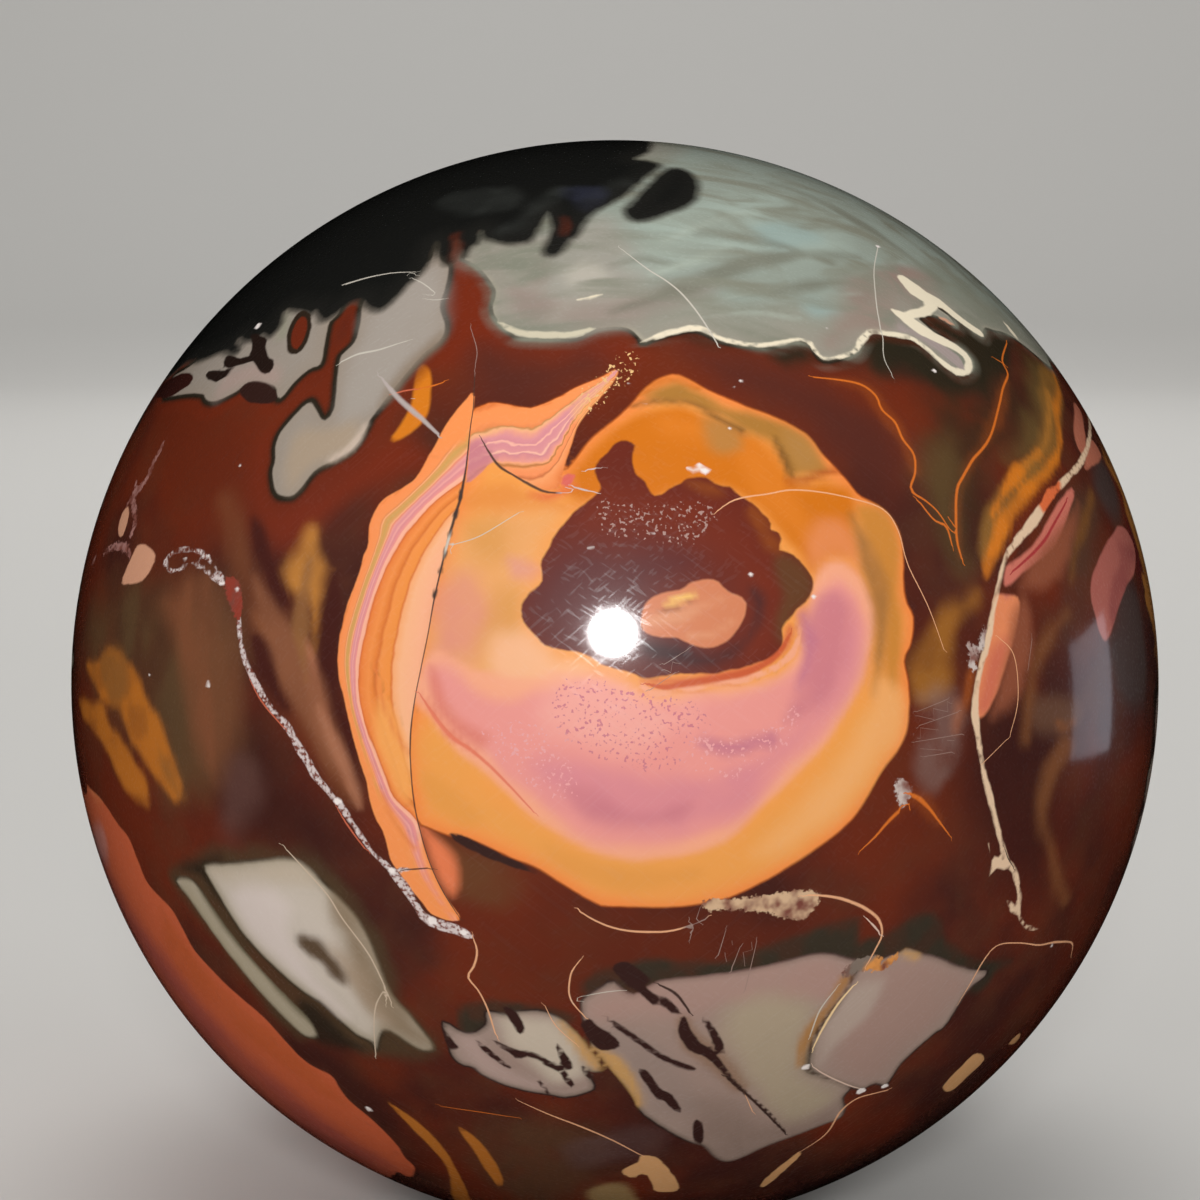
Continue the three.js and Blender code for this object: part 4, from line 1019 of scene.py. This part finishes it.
# pale scratch lines: real scratches, drawn pale as painted sheen where they catch the light
hair((156, 128, 118), ((0.04, 0.06, 0.04), front(470, 326, 477, 350, 475, 366)), ((0.03, 0.06),
    front(700, 908, 690, 938)), ((0.04, 0.08), front(726, 930, 718, 956)), ((0.04, 0.08), front(741, 945,
    731, 970)), ((0.04, 0.08), front(757, 940, 745, 990)), ((0.03, 0.05), front(690, 648, 665, 664)),
    ((0.03, 0.05), front(676, 672, 650, 690)), ((0.03, 0.05), front(916, 712, 946, 700)), ((0.03, 0.05),
    front(918, 726, 958, 712)), ((0.03, 0.05), front(914, 742, 962, 734)), ((0.03, 0.05), front(922, 757,
    952, 752)), ((0.04, 0.06), front(1028, 668, 1032, 640)))
paintHairs("hairs", wander=(0.3, "fine"))
thread((228, 196, 176), ((0.06, 0.14, 0.1), front(866, 918, 874, 926, 880, 933)), ((0.06, 0.12, 0.12, 0.08),
    front(812, 1066, 824, 1074, 848, 1085, 862, 1089)))
paintHairs("threads", wander=(0.3, "fine"))
# painted reflection: a pale grey patch on the ball's lower-left edge
wash("lights", (184, 176, 180), 0.7, 0.28, front(100, 824, 108, 850, 104, 862, 94, 842), wander=(0.3, 2))
paintWashes("lights")
# painted glints: small white dots standing in for sparkles of reflected light on crystals, pits and a small
# lamp
inlay("glints", (246, 234, 228), *[((size, size), front((x - 1, y), (x + 1, y)))
    for x, y, size in ((690, 469, 0.36), (699, 466, 0.4), (707, 470, 0.42), (690, 476, 0.2),
    (702, 475, 0.2), (814, 597, 0.3), (751, 575, 0.3), (208, 684, 0.42), (828, 329, 0.28), (878, 246, 0.36),
    (913, 736, 0.28), (258, 326, 0.5), (806, 1067, 0.5), (861, 1091, 0.6), (885, 1086, 0.4),
    (338, 801, 0.5), (239, 634, 0.35), (392, 871, 0.5), (432, 921, 0.55), (464, 932, 0.45),
    (237, 590, 0.35), (208, 557, 0.3), (222, 583, 0.35), (185, 560, 0.3), (652, 533, 0.28),
    (742, 381, 0.26), (733, 388, 0.2), (644, 404, 0.2), (730, 428, 0.2), (591, 548, 0.28), (630, 384, 0.2),
    (1052, 945, 0.3), (369, 1109, 0.5), (150, 675, 0.2), (240, 465, 0.2), (934, 371, 0.3))])
paintLayer("glints", edge=0.08, wander=(0.06, "fine"))

# the sides that the photograph doesn't show, grown in the manner of the front
backEye = grown(behind(720, 710), 17, 12, 3, 0.94, (1, 1, 1.15))
sideEyes = (grown(rightSide(800, 640), 15, 8, 17, 0.7, (1, 0.6, 1.7)), grown(leftSide(400, 650), 15, 9, 29,
    0.68, (1, 0.6, 1.7)), grown(behind(300, 860), 10, 5, 77, 0.55, (1.6, 1, 0.7)))
alsoOn("eye", backEye, *sideEyes)
eyeTone((240, 162, 80), 1.2, 0.85, grown(behind(726, 720), 22, 9, 31, 0.62), *(grown(spot, 14, 5, 33, 0.5,
    (1, 0.6, 1.7)) for spot in (rightSide(800, 640), leftSide(400, 650))), wander=(0.5, 3))
eyeTone((206, 124, 40), 0.9, 0.9, grown(behind(780, 600), 14, 6, 35, 0.62), *(grown(spot, 14, 4, 37, 0.46,
    (1, 0.6, 1.8)) for spot in (rightSide(800, 640), leftSide(400, 650))))
eyeTone((238, 152, 144), 0.6, 0.95, grown(behind(690, 760), 13, 8, 39, 0.95), *(grown(spot, 12, 5, 41, 0.56,
    (1, 0.6, 1.7)) for spot in (rightSide(790, 660), leftSide(410, 670))), wander=(0.3, 3))
eyeTone((214, 130, 142), 0.8, 0.85, grown(behind(690, 780), 10, 5, 43, 0.7), *(grown(spot, 9, 3, 45, 0.6,
    (1, 0.6, 1.7)) for spot in (rightSide(790, 660), leftSide(410, 670))), wander=(0.3, 3))
inlay("inner", (104, 42, 30), grown(behind(742, 668), 10, 7, 47, 0.86, (1.3, 1, 0.9)),
    grown(rightSide(800, 600), 7, 4, 49, 0.6, (1, 0.7, 1.4)), grown(leftSide(392, 600), 7, 4, 51, 0.6,
    (1, 0.7, 1.4)))
top((216, 132, 92), grown(behind(730, 680), 4.5, 3, 53, 0.7))
bands("backStrip", behind(664, 500, 600, 516, 548, 560, 516, 620, 500, 690, 510, 760, 544, 826, 600, 884,
    660, 912, 616, 862, 580, 806, 560, 740, 556, 670, 570, 612, 606, 566, 654, 540, 690, 512),
    (behind(720, 920, 640, 908, 600, 884, 544, 826, 510, 760, 500, 690, 516, 620, 548, 560, 600, 516,
    664, 500, 720, 490), behind(720, 890, 640, 870, 584, 832, 540, 776, 524, 700, 534, 630, 566, 574,
    620, 536, 670, 514, 720, 506), behind(700, 860, 650, 840, 606, 800, 580, 740, 574, 680, 588, 620,
    616, 580, 660, 556, 720, 540)), [(0, (232, 124, 60)), (0.2, (250, 150, 86)), (0.3, (212, 160, 92)),
    (0.4, (246, 178, 132)), (0.46, (236, 152, 146)), (0.66, (224, 142, 148)), (0.72, (250, 186, 160)), (0.8,
    (222, 116, 56)), (1.1, (246, 148, 76)), (1.2, (222, 120, 56)), (1.3, (250, 168, 100)), (1.6,
    (252, 184, 138)), (2, (244, 150, 90))], wander=(0.3, "mid"))
taupes = (grown(behind(330, 590), 15, 7, 21, 0.62, (1.6, 1, 0.8)), grown(rightSide(700, 500), 13, 6, 22,
    0.6, (1, 2, 0.8)), grown(leftSide(560, 570), 14, 6, 23, 0.62, (1, 1.6, 0.9)), grown(behind(980, 560),
    12, 6, 24, 0.6, (1, 1, 1.2)))
greys = (grown(behind(560, 970), 16, 7, 61, 0.66, (1.5, 1, 0.8)), grown(rightSide(640, 870), 15, 7, 62,
    0.64, (1, 1.6, 0.8)), grown(behind(930, 800), 12, 6, 63, 0.6, (1, 1, 1.2)), grown(rightSide(860, 960),
    12, 6, 64, 0.56, (1, 1.6, 0.8)))
ivories = (grown(behind(1010, 660), 10, 5, 65, 0.6, (0.8, 1, 1.5)), grown(rightSide(640, 660), 9, 5, 66,
    0.58, (1, 0.8, 1.5)), grown(leftSide(640, 700), 9, 4, 67, 0.58, (1, 1.4, 0.8)))
alsoOn("taupeZones", *taupes)
alsoOn("greyIslands", *greys)
alsoOn("ivoryIslands", *ivories)
smokeAndSheen((44, 38, 28), 0.9, 0.95, *taupes, *greys, *ivories, wander=(0.6, 4), patchy=0.2, grow=1.1)
allPale = (behind(450, 640), behind(900, 700), rightSide(700, 700), leftSide(560, 620), behind(560, 970))
zoneTone((178, 146, 130), 0.9, 0.8, *(grown(spot, 26, 5, 71, 0.5) for spot in allPale))
zoneTone((146, 142, 122), 0.9, 0.8, *(grown(spot, 26, 4, 73, 0.48) for spot in allPale))
zoneTone((196, 186, 170), 0.5, 0.8, *(grown(spot, 26, 3, 75, 0.4) for spot in allPale), wander=(0.3, 2))
mark((48, 32, 28), *(grown(spot, reach, 2.4, 80 + reach, 0.42, (1.6, 1, 0.7))
    for spot, reach in ((behind(330, 600), 12), (behind(560, 970), 14), (behind(960, 580), 9),
    (leftSide(560, 570), 11))), *(grown(spot, reach, 2.4, 90 + reach, 0.42, (1, 1.6, 0.7))
    for spot, reach in ((rightSide(700, 500), 10), (rightSide(640, 870), 13))))
golds = (grown(behind(900, 440), 12, 4, 101, 0.48, (0.7, 1, 1.8)), grown(behind(620, 400), 10, 4, 102, 0.48,
    (0.8, 1, 1.4)), grown(rightSide(580, 650), 12, 4, 103, 0.46, (1, 0.6, 2)), grown(leftSide(420, 480), 10,
    4, 104, 0.46, (1, 0.8, 1.6)), grown(behind(460, 760), 10, 4, 105, 0.46, (0.8, 1, 1.6)),
    grown(rightSide(900, 760), 12, 4, 106, 0.46, (1, 0.8, 1.6)))
ribbon((206, 116, 38), *golds)
ribbonTone((236, 158, 70), 0.5, 0.8, *(grown(spot, 12, 2.6, 107, 0.42) for spot in (behind(900, 440),
    behind(620, 400), rightSide(580, 650), leftSide(420, 480), behind(460, 760))), wander=(0.2, 2))
ribbon((206, 116, 98), grown(rightSide(960, 620), 11, 5, 111, 0.5, (1, 0.7, 1.6)), grown(behind(400, 800),
    11, 4, 112, 0.5, (1.8, 1, 0.7)), grown(leftSide(300, 520), 9, 4, 113, 0.5, (1, 1, 1.4)))
ribbonTone((172, 82, 72), 1.6, 0.8, grown(leftSide(560, 1010), 26, 9, 121, 0.5, (2, 2, 0.8)),
    wander=(0.8, 4))
ribbonTone((222, 128, 78), 1.0, 0.8, grown(leftSide(560, 960), 26, 6, 122, 0.42, (2.4, 2.4, 0.6)),
    wander=(0.6, 4))
ribbonTone((150, 62, 34), 0.6, 0.8, grown(leftSide(520, 980), 26, 4, 123, 0.38, (2.4, 2.4, 0.6)))
smokeAndSheen((70, 32, 27), 2.4, 0.85, grown(behind(615, 700), 58, 13, 131, 0.52, (1.4, 1.4, 0.8)), wander=(1.4, 6))
smokeAndSheen((120, 72, 42), 1.4, 0.85, grown(behind(615, 700), 58, 9, 133, 0.46, (1.2, 1.2, 1.0)), wander=(1.0, 4),
    patchy=0.3)
smokeAndSheen((150, 74, 34), 0.8, 0.8, grown(behind(615, 700), 58, 6, 135, 0.38, (1, 1, 1.5)), wander=(0.6, 3),
    patchy=0.3)
smokeAndSheen((186, 122, 52), 0.5, 0.85, *(grown(spot, 16, 3.5, 137, 0.4, (0.8, 0.8, 1.8))
    for spot in (behind(860, 500), rightSide(560, 640), leftSide(420, 520), behind(440, 720))))
inlay("silver", (216, 200, 196), ((0.5, 0.9, 0.8, 0.9, 1.0, 0.8, 0.9, 0.6), behind(580, 440, 560, 480,
    500, 520, 474, 580, 466, 640, 440, 700, 404, 760, 390, 840)), ((0.5, 0.9, 0.8, 0.9, 0.5),
    leftSide(500, 520, 486, 560, 450, 620, 470, 700, 540, 760)))
mark((232, 198, 164), ((0.5, 0.9, 0.8, 1.0, 0.8, 0.5), behind(900, 380, 910, 450, 896, 530, 916, 610,
    900, 690, 926, 760)), ((0.5, 0.9, 1.0, 0.6), rightSide(440, 900, 486, 850, 490, 800, 540, 760)),
    ((0.5, 0.8, 0.9, 0.6), leftSide(300, 700, 330, 760, 330, 820, 380, 880)))
mark((226, 214, 186), ((0.3, 0.8, 0.7, 0.5, 0.8, 0.5, 0.3), behind(226, 388, 262, 426, 290, 480, 308, 516,
    324, 500, 330, 462, 352, 430)), ((0.3, 0.7, 0.5, 0.6, 0.3), behind(404, 452, 438, 488, 454, 470,
    456, 428, 496, 402)), ((0.3, 0.9, 0.6, 0.9, 0.7, 0.4), rightSide(560, 420, 590, 470, 612, 476, 628, 440,
    668, 430, 700, 452)), ((0.3, 0.7, 0.6, 0.3), rightSide(850, 446, 880, 480, 900, 520, 920, 500)))
hair((218, 112, 36), ((0.2, 0.3, 0.3, 0.3, 0.2), behind(660, 400, 700, 440, 750, 470, 810, 490, 860, 470)),
    ((0.2, 0.3, 0.3, 0.2), rightSide(880, 500, 900, 590, 890, 640, 930, 700)), ((0.2, 0.3, 0.3, 0.2),
    leftSide(640, 620, 630, 680, 650, 720, 690, 760)), ((0.2, 0.3, 0.3, 0.2), behind(760, 900, 820, 940,
    840, 980, 900, 1000)))
thread((238, 176, 132), ((0.2, 0.28, 0.28, 0.2), behind(560, 900, 520, 850, 490, 830, 450, 846)),
    ((0.2, 0.28, 0.28, 0.2), behind(780, 880, 820, 900, 870, 890, 900, 850)), ((0.2, 0.28, 0.28, 0.2),
    rightSide(620, 780, 660, 760, 720, 766, 790, 740)), ((0.2, 0.28, 0.28, 0.2), leftSide(540, 700,
    600, 710, 640, 750, 690, 780)), ((0.2, 0.26, 0.2), behind(620, 300, 640, 340, 690, 390)))
thread((206, 198, 184), ((0.2, 0.26, 0.26, 0.2), behind(300, 380, 340, 400, 400, 400, 440, 420)),
    ((0.2, 0.26, 0.2), rightSide(700, 260, 740, 320, 800, 340)))


# A socket that takes part in sums, so that shader maths reads as plain arithmetic.
class Flow:
    def __init__(self, graph, socket):
        self.graph = graph
        self.socket = socket

    def maths(self, operation, first, second=0.0):
        return self.graph.node("ShaderNodeMath", {"operation": operation}, {0: first, 1: second})

    def __add__(self, other):
        return self.maths("ADD", self, other)

    def __sub__(self, other):
        return self.maths("SUBTRACT", self, other)

    def __rsub__(self, other):
        return self.maths("SUBTRACT", other, self)

    def __mul__(self, other):
        return self.maths("MULTIPLY", self, other)

    def __truediv__(self, other):
        return self.maths("DIVIDE", self, other)

    def __abs__(self):
        return self.maths("ABSOLUTE", self)

    __radd__ = __add__
    __rmul__ = __mul__


class Graph:
    def __init__(self, tree):
        self.tree = tree
        self.tree.nodes.clear()

    # Makes a node: its settings first, then values or links for its sockets.
    def node(self, kind, settings=None, inputs=None, output=0):
        made = self.tree.nodes.new(kind)
        for name, value in (settings or {}).items():
            if name == "stops":
                self.setStops(made.color_ramp, value)
            else:
                setattr(made, name, value)
        for name, value in (inputs or {}).items():
            if isinstance(value, Flow):
                self.tree.links.new(value.socket, made.inputs[name])
            else:
                made.inputs[name].default_value = value
        return Flow(self, made.outputs[output]) if made.outputs else None

    def setStops(self, ramp, stops):
        while len(ramp.elements) < len(stops):
            ramp.elements.new(0.5)
        for element, (place, colour) in zip(ramp.elements, stops):
            element.position = place
            element.color = colour

    # Another output of a node that was made before.
    def other(self, flow, output):
        return Flow(self, flow.socket.node.outputs[output])

    def between(self, value, start, end):
        return self.node("ShaderNodeMapRange", {"interpolation_type": "SMOOTHSTEP"},
                         {"Value": value, "From Min": start, "From Max": end})

    def blend(self, under, over, cover):
        return self.node("ShaderNodeMix", {"data_type": "RGBA"}, {0: cover, 6: under, 7: over}, 2)

    def noise(self, place, scale, detail=2.0, distortion=0.0):
        return self.node("ShaderNodeTexNoise", None,
                         {"Vector": place, "Scale": scale, "Detail": detail, "Distortion": distortion})


ground = {
    "red": (112, 42, 20),
    "maroon": (72, 34, 27),
    "brown": (96, 56, 36),
    "maroonFrom": (0.36, 0.62),  # strength of the wide grain at which the maroon starts, and is whole
    "brownShare": 0.4,
}


# The stone's body colour: red-brown and maroon clouds.
def groundColour(graph, grains, veils):
    maroons = graph.between(grains["wide"], *ground["maroonFrom"])
    mixed = graph.blend(tone(ground["red"]), tone(ground["maroon"]), maroons)
    return graph.blend(mixed, tone(ground["brown"]), veils["mid"] * ground["brownShare"])


# The washes of one group, as mixed at the skin's points, over the colour beneath.
def washedOver(graph, beneath, name):
    colour = graph.node("ShaderNodeAttribute", {"attribute_name": name})
    return graph.blend(beneath, colour, graph.other(colour, 3))


# One marking as a node group of its own, which lays its colours over the colour beneath.
def markingGroup(marking):
    tree = bpy.data.node_groups.new(marking["name"], "ShaderNodeTree")
    graph = Graph(tree)
    tree.interface.new_socket("Beneath", in_out="INPUT", socket_type="NodeSocketColor")
    tree.interface.new_socket("Stray", in_out="INPUT", socket_type="NodeSocketFloat")
    tree.interface.new_socket("Veil", in_out="INPUT", socket_type="NodeSocketFloat")
    tree.interface.new_socket("Colour", in_out="OUTPUT", socket_type="NodeSocketColor")
    beneath = graph.node("NodeGroupInput")
    field = graph.node("ShaderNodeAttribute", {"attribute_name": marking["name"]}, None, 2)
    stray = graph.other(beneath, 1)
    place = graph.node("ShaderNodeMath", {"operation": "MULTIPLY_ADD"},
                       {0: stray, 1: strayShare(marking), 2: field})
    first, last = rampEnds(marking)
    if marking["kind"] == "hairs":
        place = abs(place)
    if marking["fill"]:
        colour = graph.node("ShaderNodeAttribute", {"attribute_name": marking["fill"]})
    if marking["kind"] == "bands":
        across = graph.node("ShaderNodeAttribute", {"attribute_name": marking["name"] + "Across"}, None, 2)
        stops = [(at / 2, tone(shade)) for at, shade in marking["stops"]]
        swayed = across + (stray - 0.5) * marking["sway"]
        ramp = graph.node("ShaderNodeValToRGB", {"stops": stops}, {0: swayed})
        colour = graph.blend(ramp, colour, graph.other(colour, 3)) if marking["fill"] else ramp
    if marking["kind"] == "patch":
        stops = [((at - first) / (last - first), tone(shade, cover)) for at, shade, cover in marking["ramp"]]
        ramp = graph.node("ShaderNodeValToRGB", {"stops": stops}, {0: place})
        colour = graph.blend(ramp, colour, graph.other(colour, 3)) if marking["fill"] else ramp
        cover = graph.other(ramp, 1)
    else:
        start, end = marking["ramp"]
        cover = graph.node("ShaderNodeMapRange", {"interpolation_type": "SMOOTHSTEP"}, {
            "Value": place, "From Min": (start[0] - first) / (last - first),
            "To Min": start[2], "To Max": end[2]})
    if marking["veil"]:
        colour = graph.blend(colour, tone(marking["veil"][0]), graph.other(beneath, 2))
    graph.node("NodeGroupOutput", None, {0: graph.blend(beneath, colour, cover)})
    return tree


# The ends of a marking's ramp, in mm for a patch and in half widths for a line.
def rampEnds(marking):
    first = 0.0 if marking["kind"] == "hairs" else marking["ramp"][0][0]
    return first, marking["ramp"][-1][0]


def strayShare(marking):
    first, last = rampEnds(marking)
    return 2 * marking["wander"][0] / (last - first)


def jasperMaterial():
    material = bpy.data.materials.new("polished jasper")
    material.use_nodes = True
    graph = Graph(material.node_tree)
    place = graph.node("ShaderNodeTexCoord", None, None, 3)
    streaked = graph.node("ShaderNodeMapping", {"vector_type": "POINT"},
                          {0: place, "Rotation": (0, math.radians(stone["streakLean"]), 0),
                           "Scale": stone["streakStretch"]})
    grains = {name: graph.noise(place, scale, detail) for name, (scale, detail) in stone["grains"].items()}
    grains["streak"] = graph.noise(streaked, stone["streakScale"], 3, 0.6)
    veils = {name: graph.between(grain, *stone["veilFrom"]) for name, grain in grains.items()}
    scratches = 0.0
    for turn in stone["scratchTurns"]:
        lengthwise = graph.node("ShaderNodeMapping", {"vector_type": "TEXTURE"}, {
            0: place, "Rotation": (0, math.radians(turn), 0), "Scale": (stone["scratchLength"], 1.0, 1.0)})
        scratch = graph.noise(lengthwise, stone["scratchScale"], 0)
        scratches = graph.between(scratch, *stone["scratchFrom"]) + scratches
    colour = groundColour(graph, grains, veils)
    for marking in markings:
        if marking["kind"] == "wash":
            colour = washedOver(graph, colour, marking["name"])
            continue
        group = {"node_tree": markingGroup(marking)}
        inputs = {0: colour, 1: grains[marking["wander"][1]]}
        if marking["veil"]:
            inputs[2] = veils[marking["veil"][1]]
        colour = graph.node("ShaderNodeGroup", group, inputs)
    shader = graph.node("ShaderNodeBsdfPrincipled", None, {
        "Base Color": colour, "IOR": stone["indexOfRefraction"],
        "Roughness": scratches * stone["scratchRoughness"] + stone["roughness"],
        "Coat Weight": scratches * stone["scratchHaze"] + stone["haze"],
        "Coat Roughness": stone["hazeRoughness"]})
    graph.node("ShaderNodeOutputMaterial", None, {0: shader})
    return material


# Draws a sheet's lines closer together near its middle.
def finerInFront(place):
    return place * (1 - stone["crowding"] + stone["crowding"] * place**2)


# The ball's skin: a square sheet of triangles folded so that its middle faces the viewer and its four corners
# meet behind. Gives directions, triangles and each corner's place on the sheet.
def foldedSkin():
    steps = stone["gridSteps"]
    column, row = np.meshgrid(np.arange(steps + 1), np.arange(steps + 1))
    across, upward = (finerInFront(part * 2 / steps - 1) for part in (column, row))
    away = np.abs(across) + np.abs(upward)
    ring = 1 - np.abs(1 - away)
    turn = ((np.abs(upward) - np.abs(across)) / np.maximum(ring, 1e-9) + 1) * math.pi / 4
    reach = ring * np.sqrt(2 - ring**2)
    toward = np.where(away <= 1, 1, -1) * (1 - ring**2)
    x = np.copysign(np.cos(turn) * reach, across)
    y = np.copysign(np.sin(turn) * reach, upward)
    tilt = math.radians(picture["elevation"])
    deep = y * math.sin(tilt) - toward * math.cos(tilt)
    tall = y * math.cos(tilt) + toward * math.sin(tilt)
    spots = np.stack((x, deep, tall), -1)

    # the sheet's edges meet their own other halves
    onEnd = (row == 0) | (row == steps)
    onSide = (column == 0) | (column == steps)
    foldedColumn = np.where(onEnd, np.minimum(column, steps - column), column)
    foldedRow = np.where(onSide, np.minimum(row, steps - row), row)
    own, merged = np.unique(foldedRow * (steps + 1) + foldedColumn, return_inverse=True)
    merged = merged.reshape(row.shape)

    # two triangles to a square, cut along the way that the sheet folds
    index = row * (steps + 1) + column
    a, b, c, d = (part.ravel() for part in (index[:-1, :-1], index[:-1, 1:], index[1:, 1:], index[1:, :-1]))
    same = (column.ravel()[a] - steps / 2 + 0.5) * (row.ravel()[a] - steps / 2 + 0.5) > 0
    first = np.where(same[:, None], np.stack((a, b, d), 1), np.stack((a, b, c), 1))
    second = np.where(same[:, None], np.stack((b, c, d), 1), np.stack((a, c, d), 1))
    corners = np.vstack((first, second))
    sheet = np.stack(((across + 1) / 2, (upward + 1) / 2), -1).reshape(-1, 2)
    return spots.reshape(-1, 3)[own], merged.ravel()[corners], sheet[corners]


def makeStone():
    skin, triangles, sheet = foldedSkin()
    points = skin * radius + centre
    points[:, 2] = np.maximum(points[:, 2], low.z)  # the flat that it rests on
    mesh = bpy.data.meshes.new("jasper_ball")
    mesh.from_pydata(points.tolist(), [], triangles.tolist())
    mesh.shade_smooth()
    unfolded = mesh.uv_layers.new(name="OFBake")
    unfolded.data.foreach_set("uv", sheet.ravel())
    for group, stains in washes.items():
        attribute = mesh.attributes.new(group, "FLOAT_COLOR", "POINT")
        attribute.data.foreach_set("color", blendedWashes(skin, stains).ravel())
    for marking in markings:
        if marking["kind"] == "wash":
            continue
        first, last = rampEnds(marking)
        if marking["kind"] == "hairs":
            field = lineField(skin, marking["shapes"])
        else:
            reach = marking["wander"][0] + stone["fieldMargin"] - first
            field = depthField(skin, marking["shapes"], reach)
        if marking["kind"] == "bands":
            attribute = mesh.attributes.new(marking["name"] + "Across", "FLOAT", "POINT")
            attribute.data.foreach_set("value", acrossField(skin, marking["lines"]))
        attribute = mesh.attributes.new(marking["name"], "FLOAT", "POINT")
        if marking.get("threshold"):
            field = np.minimum(field, last) - marking["threshold"]
        attribute.data.foreach_set("value", (field - first) / (last - first) - strayShare(marking) / 2)
    ball = bpy.data.objects.new("jasper_ball", mesh)
    bpy.context.scene.collection.objects.link(ball)
    mesh.materials.append(jasperMaterial())
    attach(ball, "root")
    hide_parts(stone["node"])
    return ball


studio = {
    "floorTone": (196, 194, 190),
    "floorRoughness": 0.7,
    "sweepRun": 0.7,
    "sweepBend": 0.5,
    "sweepHeight": 3.0,
    "sweepWidth": 6.0,
    "worldStrength": 0.3,
    "keyReflection": (613, 633),  # where the lamp shows on the ball, in the picture
    "keySize": 0.05,
    "keyDistance": 0.3,
    "keyPower": 0.5,
    "windowReflection": (1094, 692),
    "windowSize": (0.2, 0.18),
    "windowDistance": 0.7,
    "windowPower": 0.12,
    "windowColour": (0.85, 0.88, 1.0),
    "softPower": 0.9,
    "softSize": 0.4,
    "softLamps": (("softTop", (0, 0.05, 0.6), 1.0), ("softLeft", (-0.6, -0.2, 0.35), 0.8),
                  ("softRight", (0.6, -0.1, 0.35), 0.8), ("softBack", (0, 0.65, 0.35), 0.9)),
    "sweepPower": 6.0,
    "sweepLamp": (0, 0.35, 1.0),
    "sweepAim": (0, 1.2, 0.3),
    "sweepLampSize": 0.8,
}


# Where a lamp stands so that its reflection shows at a spot of the picture.
def mirrored(pixel, distance):
    normal = marked(pixel)[0]
    hit = centre + normal * radius
    ray = unit(hit - pose["eye"])
    return hit + (ray - 2 * (ray @ normal) * normal) * distance


def areaLight(name, place, target, power, size, colour=(1, 1, 1), shows=True):
    lamp = bpy.data.lights.new(name, "AREA")
    lamp.energy = power
    lamp.color = colour
    lamp.shape = "RECTANGLE" if isinstance(size, tuple) else "DISK"
    if isinstance(size, tuple):
        lamp.size, lamp.size_y = size
    else:
        lamp.size = size
    made = bpy.data.objects.new(name, lamp)
    made.location = place
    made.rotation_euler = Vector(np.array(target) - np.array(place)).to_track_quat("-Z", "Y").to_euler()
    made.visible_glossy = shows
    bpy.context.scene.collection.objects.link(made)
    return made


def makeStudio():
    areaLight("key", mirrored(studio["keyReflection"], studio["keyDistance"]), centre, studio["keyPower"],
              studio["keySize"])
    areaLight("window", mirrored(studio["windowReflection"], studio["windowDistance"]), centre,
              studio["windowPower"], studio["windowSize"], studio["windowColour"])
    areaLight("sweepLight", studio["sweepLamp"], studio["sweepAim"], studio["sweepPower"],
              studio["sweepLampSize"], shows=False)
    for name, place, share in studio["softLamps"]:
        areaLight(name, place, centre, studio["softPower"] * share, studio["softSize"], shows=False)
    run, bend, wall = studio["sweepRun"], studio["sweepBend"], studio["sweepHeight"]
    turns = np.linspace(0, math.pi / 2, 17)
    profile = [(-run, 0), *[(run + bend * math.sin(turn), bend - bend * math.cos(turn)) for turn in turns],
               (run + bend, wall)]
    half = studio["sweepWidth"] / 2
    spots = [(side * half, y, z) for y, z in profile for side in (-1, 1)]
    faces = [(2 * k, 2 * k + 1, 2 * k + 3, 2 * k + 2) for k in range(len(profile) - 1)]
    floorMesh = bpy.data.meshes.new("floor")
    floorMesh.from_pydata(spots, [], faces)
    floorMesh.shade_smooth()
    floor = bpy.data.objects.new("floor", floorMesh)
    floor.visible_glossy = False
    bpy.context.scene.collection.objects.link(floor)
    material = bpy.data.materials.new("pale floor")
    material.use_nodes = True
    graph = Graph(material.node_tree)
    shader = graph.node("ShaderNodeBsdfPrincipled", None, {
        "Base Color": tone(studio["floorTone"]), "Roughness": studio["floorRoughness"]})
    graph.node("ShaderNodeOutputMaterial", None, {0: shader})
    floorMesh.materials.append(material)
    world = bpy.data.worlds.new("studio")
    bpy.context.scene.world = world
    world.use_nodes = True
    graph = Graph(world.node_tree)
    sky = graph.node("ShaderNodeBackground", None, {
        "Color": (1, 1, 1, 1), "Strength": studio["worldStrength"]})
    graph.node("ShaderNodeOutputWorld", None, {0: sky})
    world.cycles_visibility.glossy = False
    bpy.context.scene.view_settings.view_transform = "Standard"


def makeCamera():
    lens = bpy.data.cameras.new("camera")
    lens.lens = picture["lens"]
    lens.sensor_width = picture["sensor"]
    camera = bpy.data.objects.new("camera", lens)
    turn = Matrix((pose["right"], pose["up"], -pose["forward"])).transposed()
    camera.matrix_world = Matrix.Translation(pose["eye"]) @ turn.to_4x4()
    bpy.context.scene.collection.objects.link(camera)
    bpy.context.scene.camera = camera


print("stage: making the ball")
makeStone()
print("stage: lighting")
makeStudio()
makeCamera()
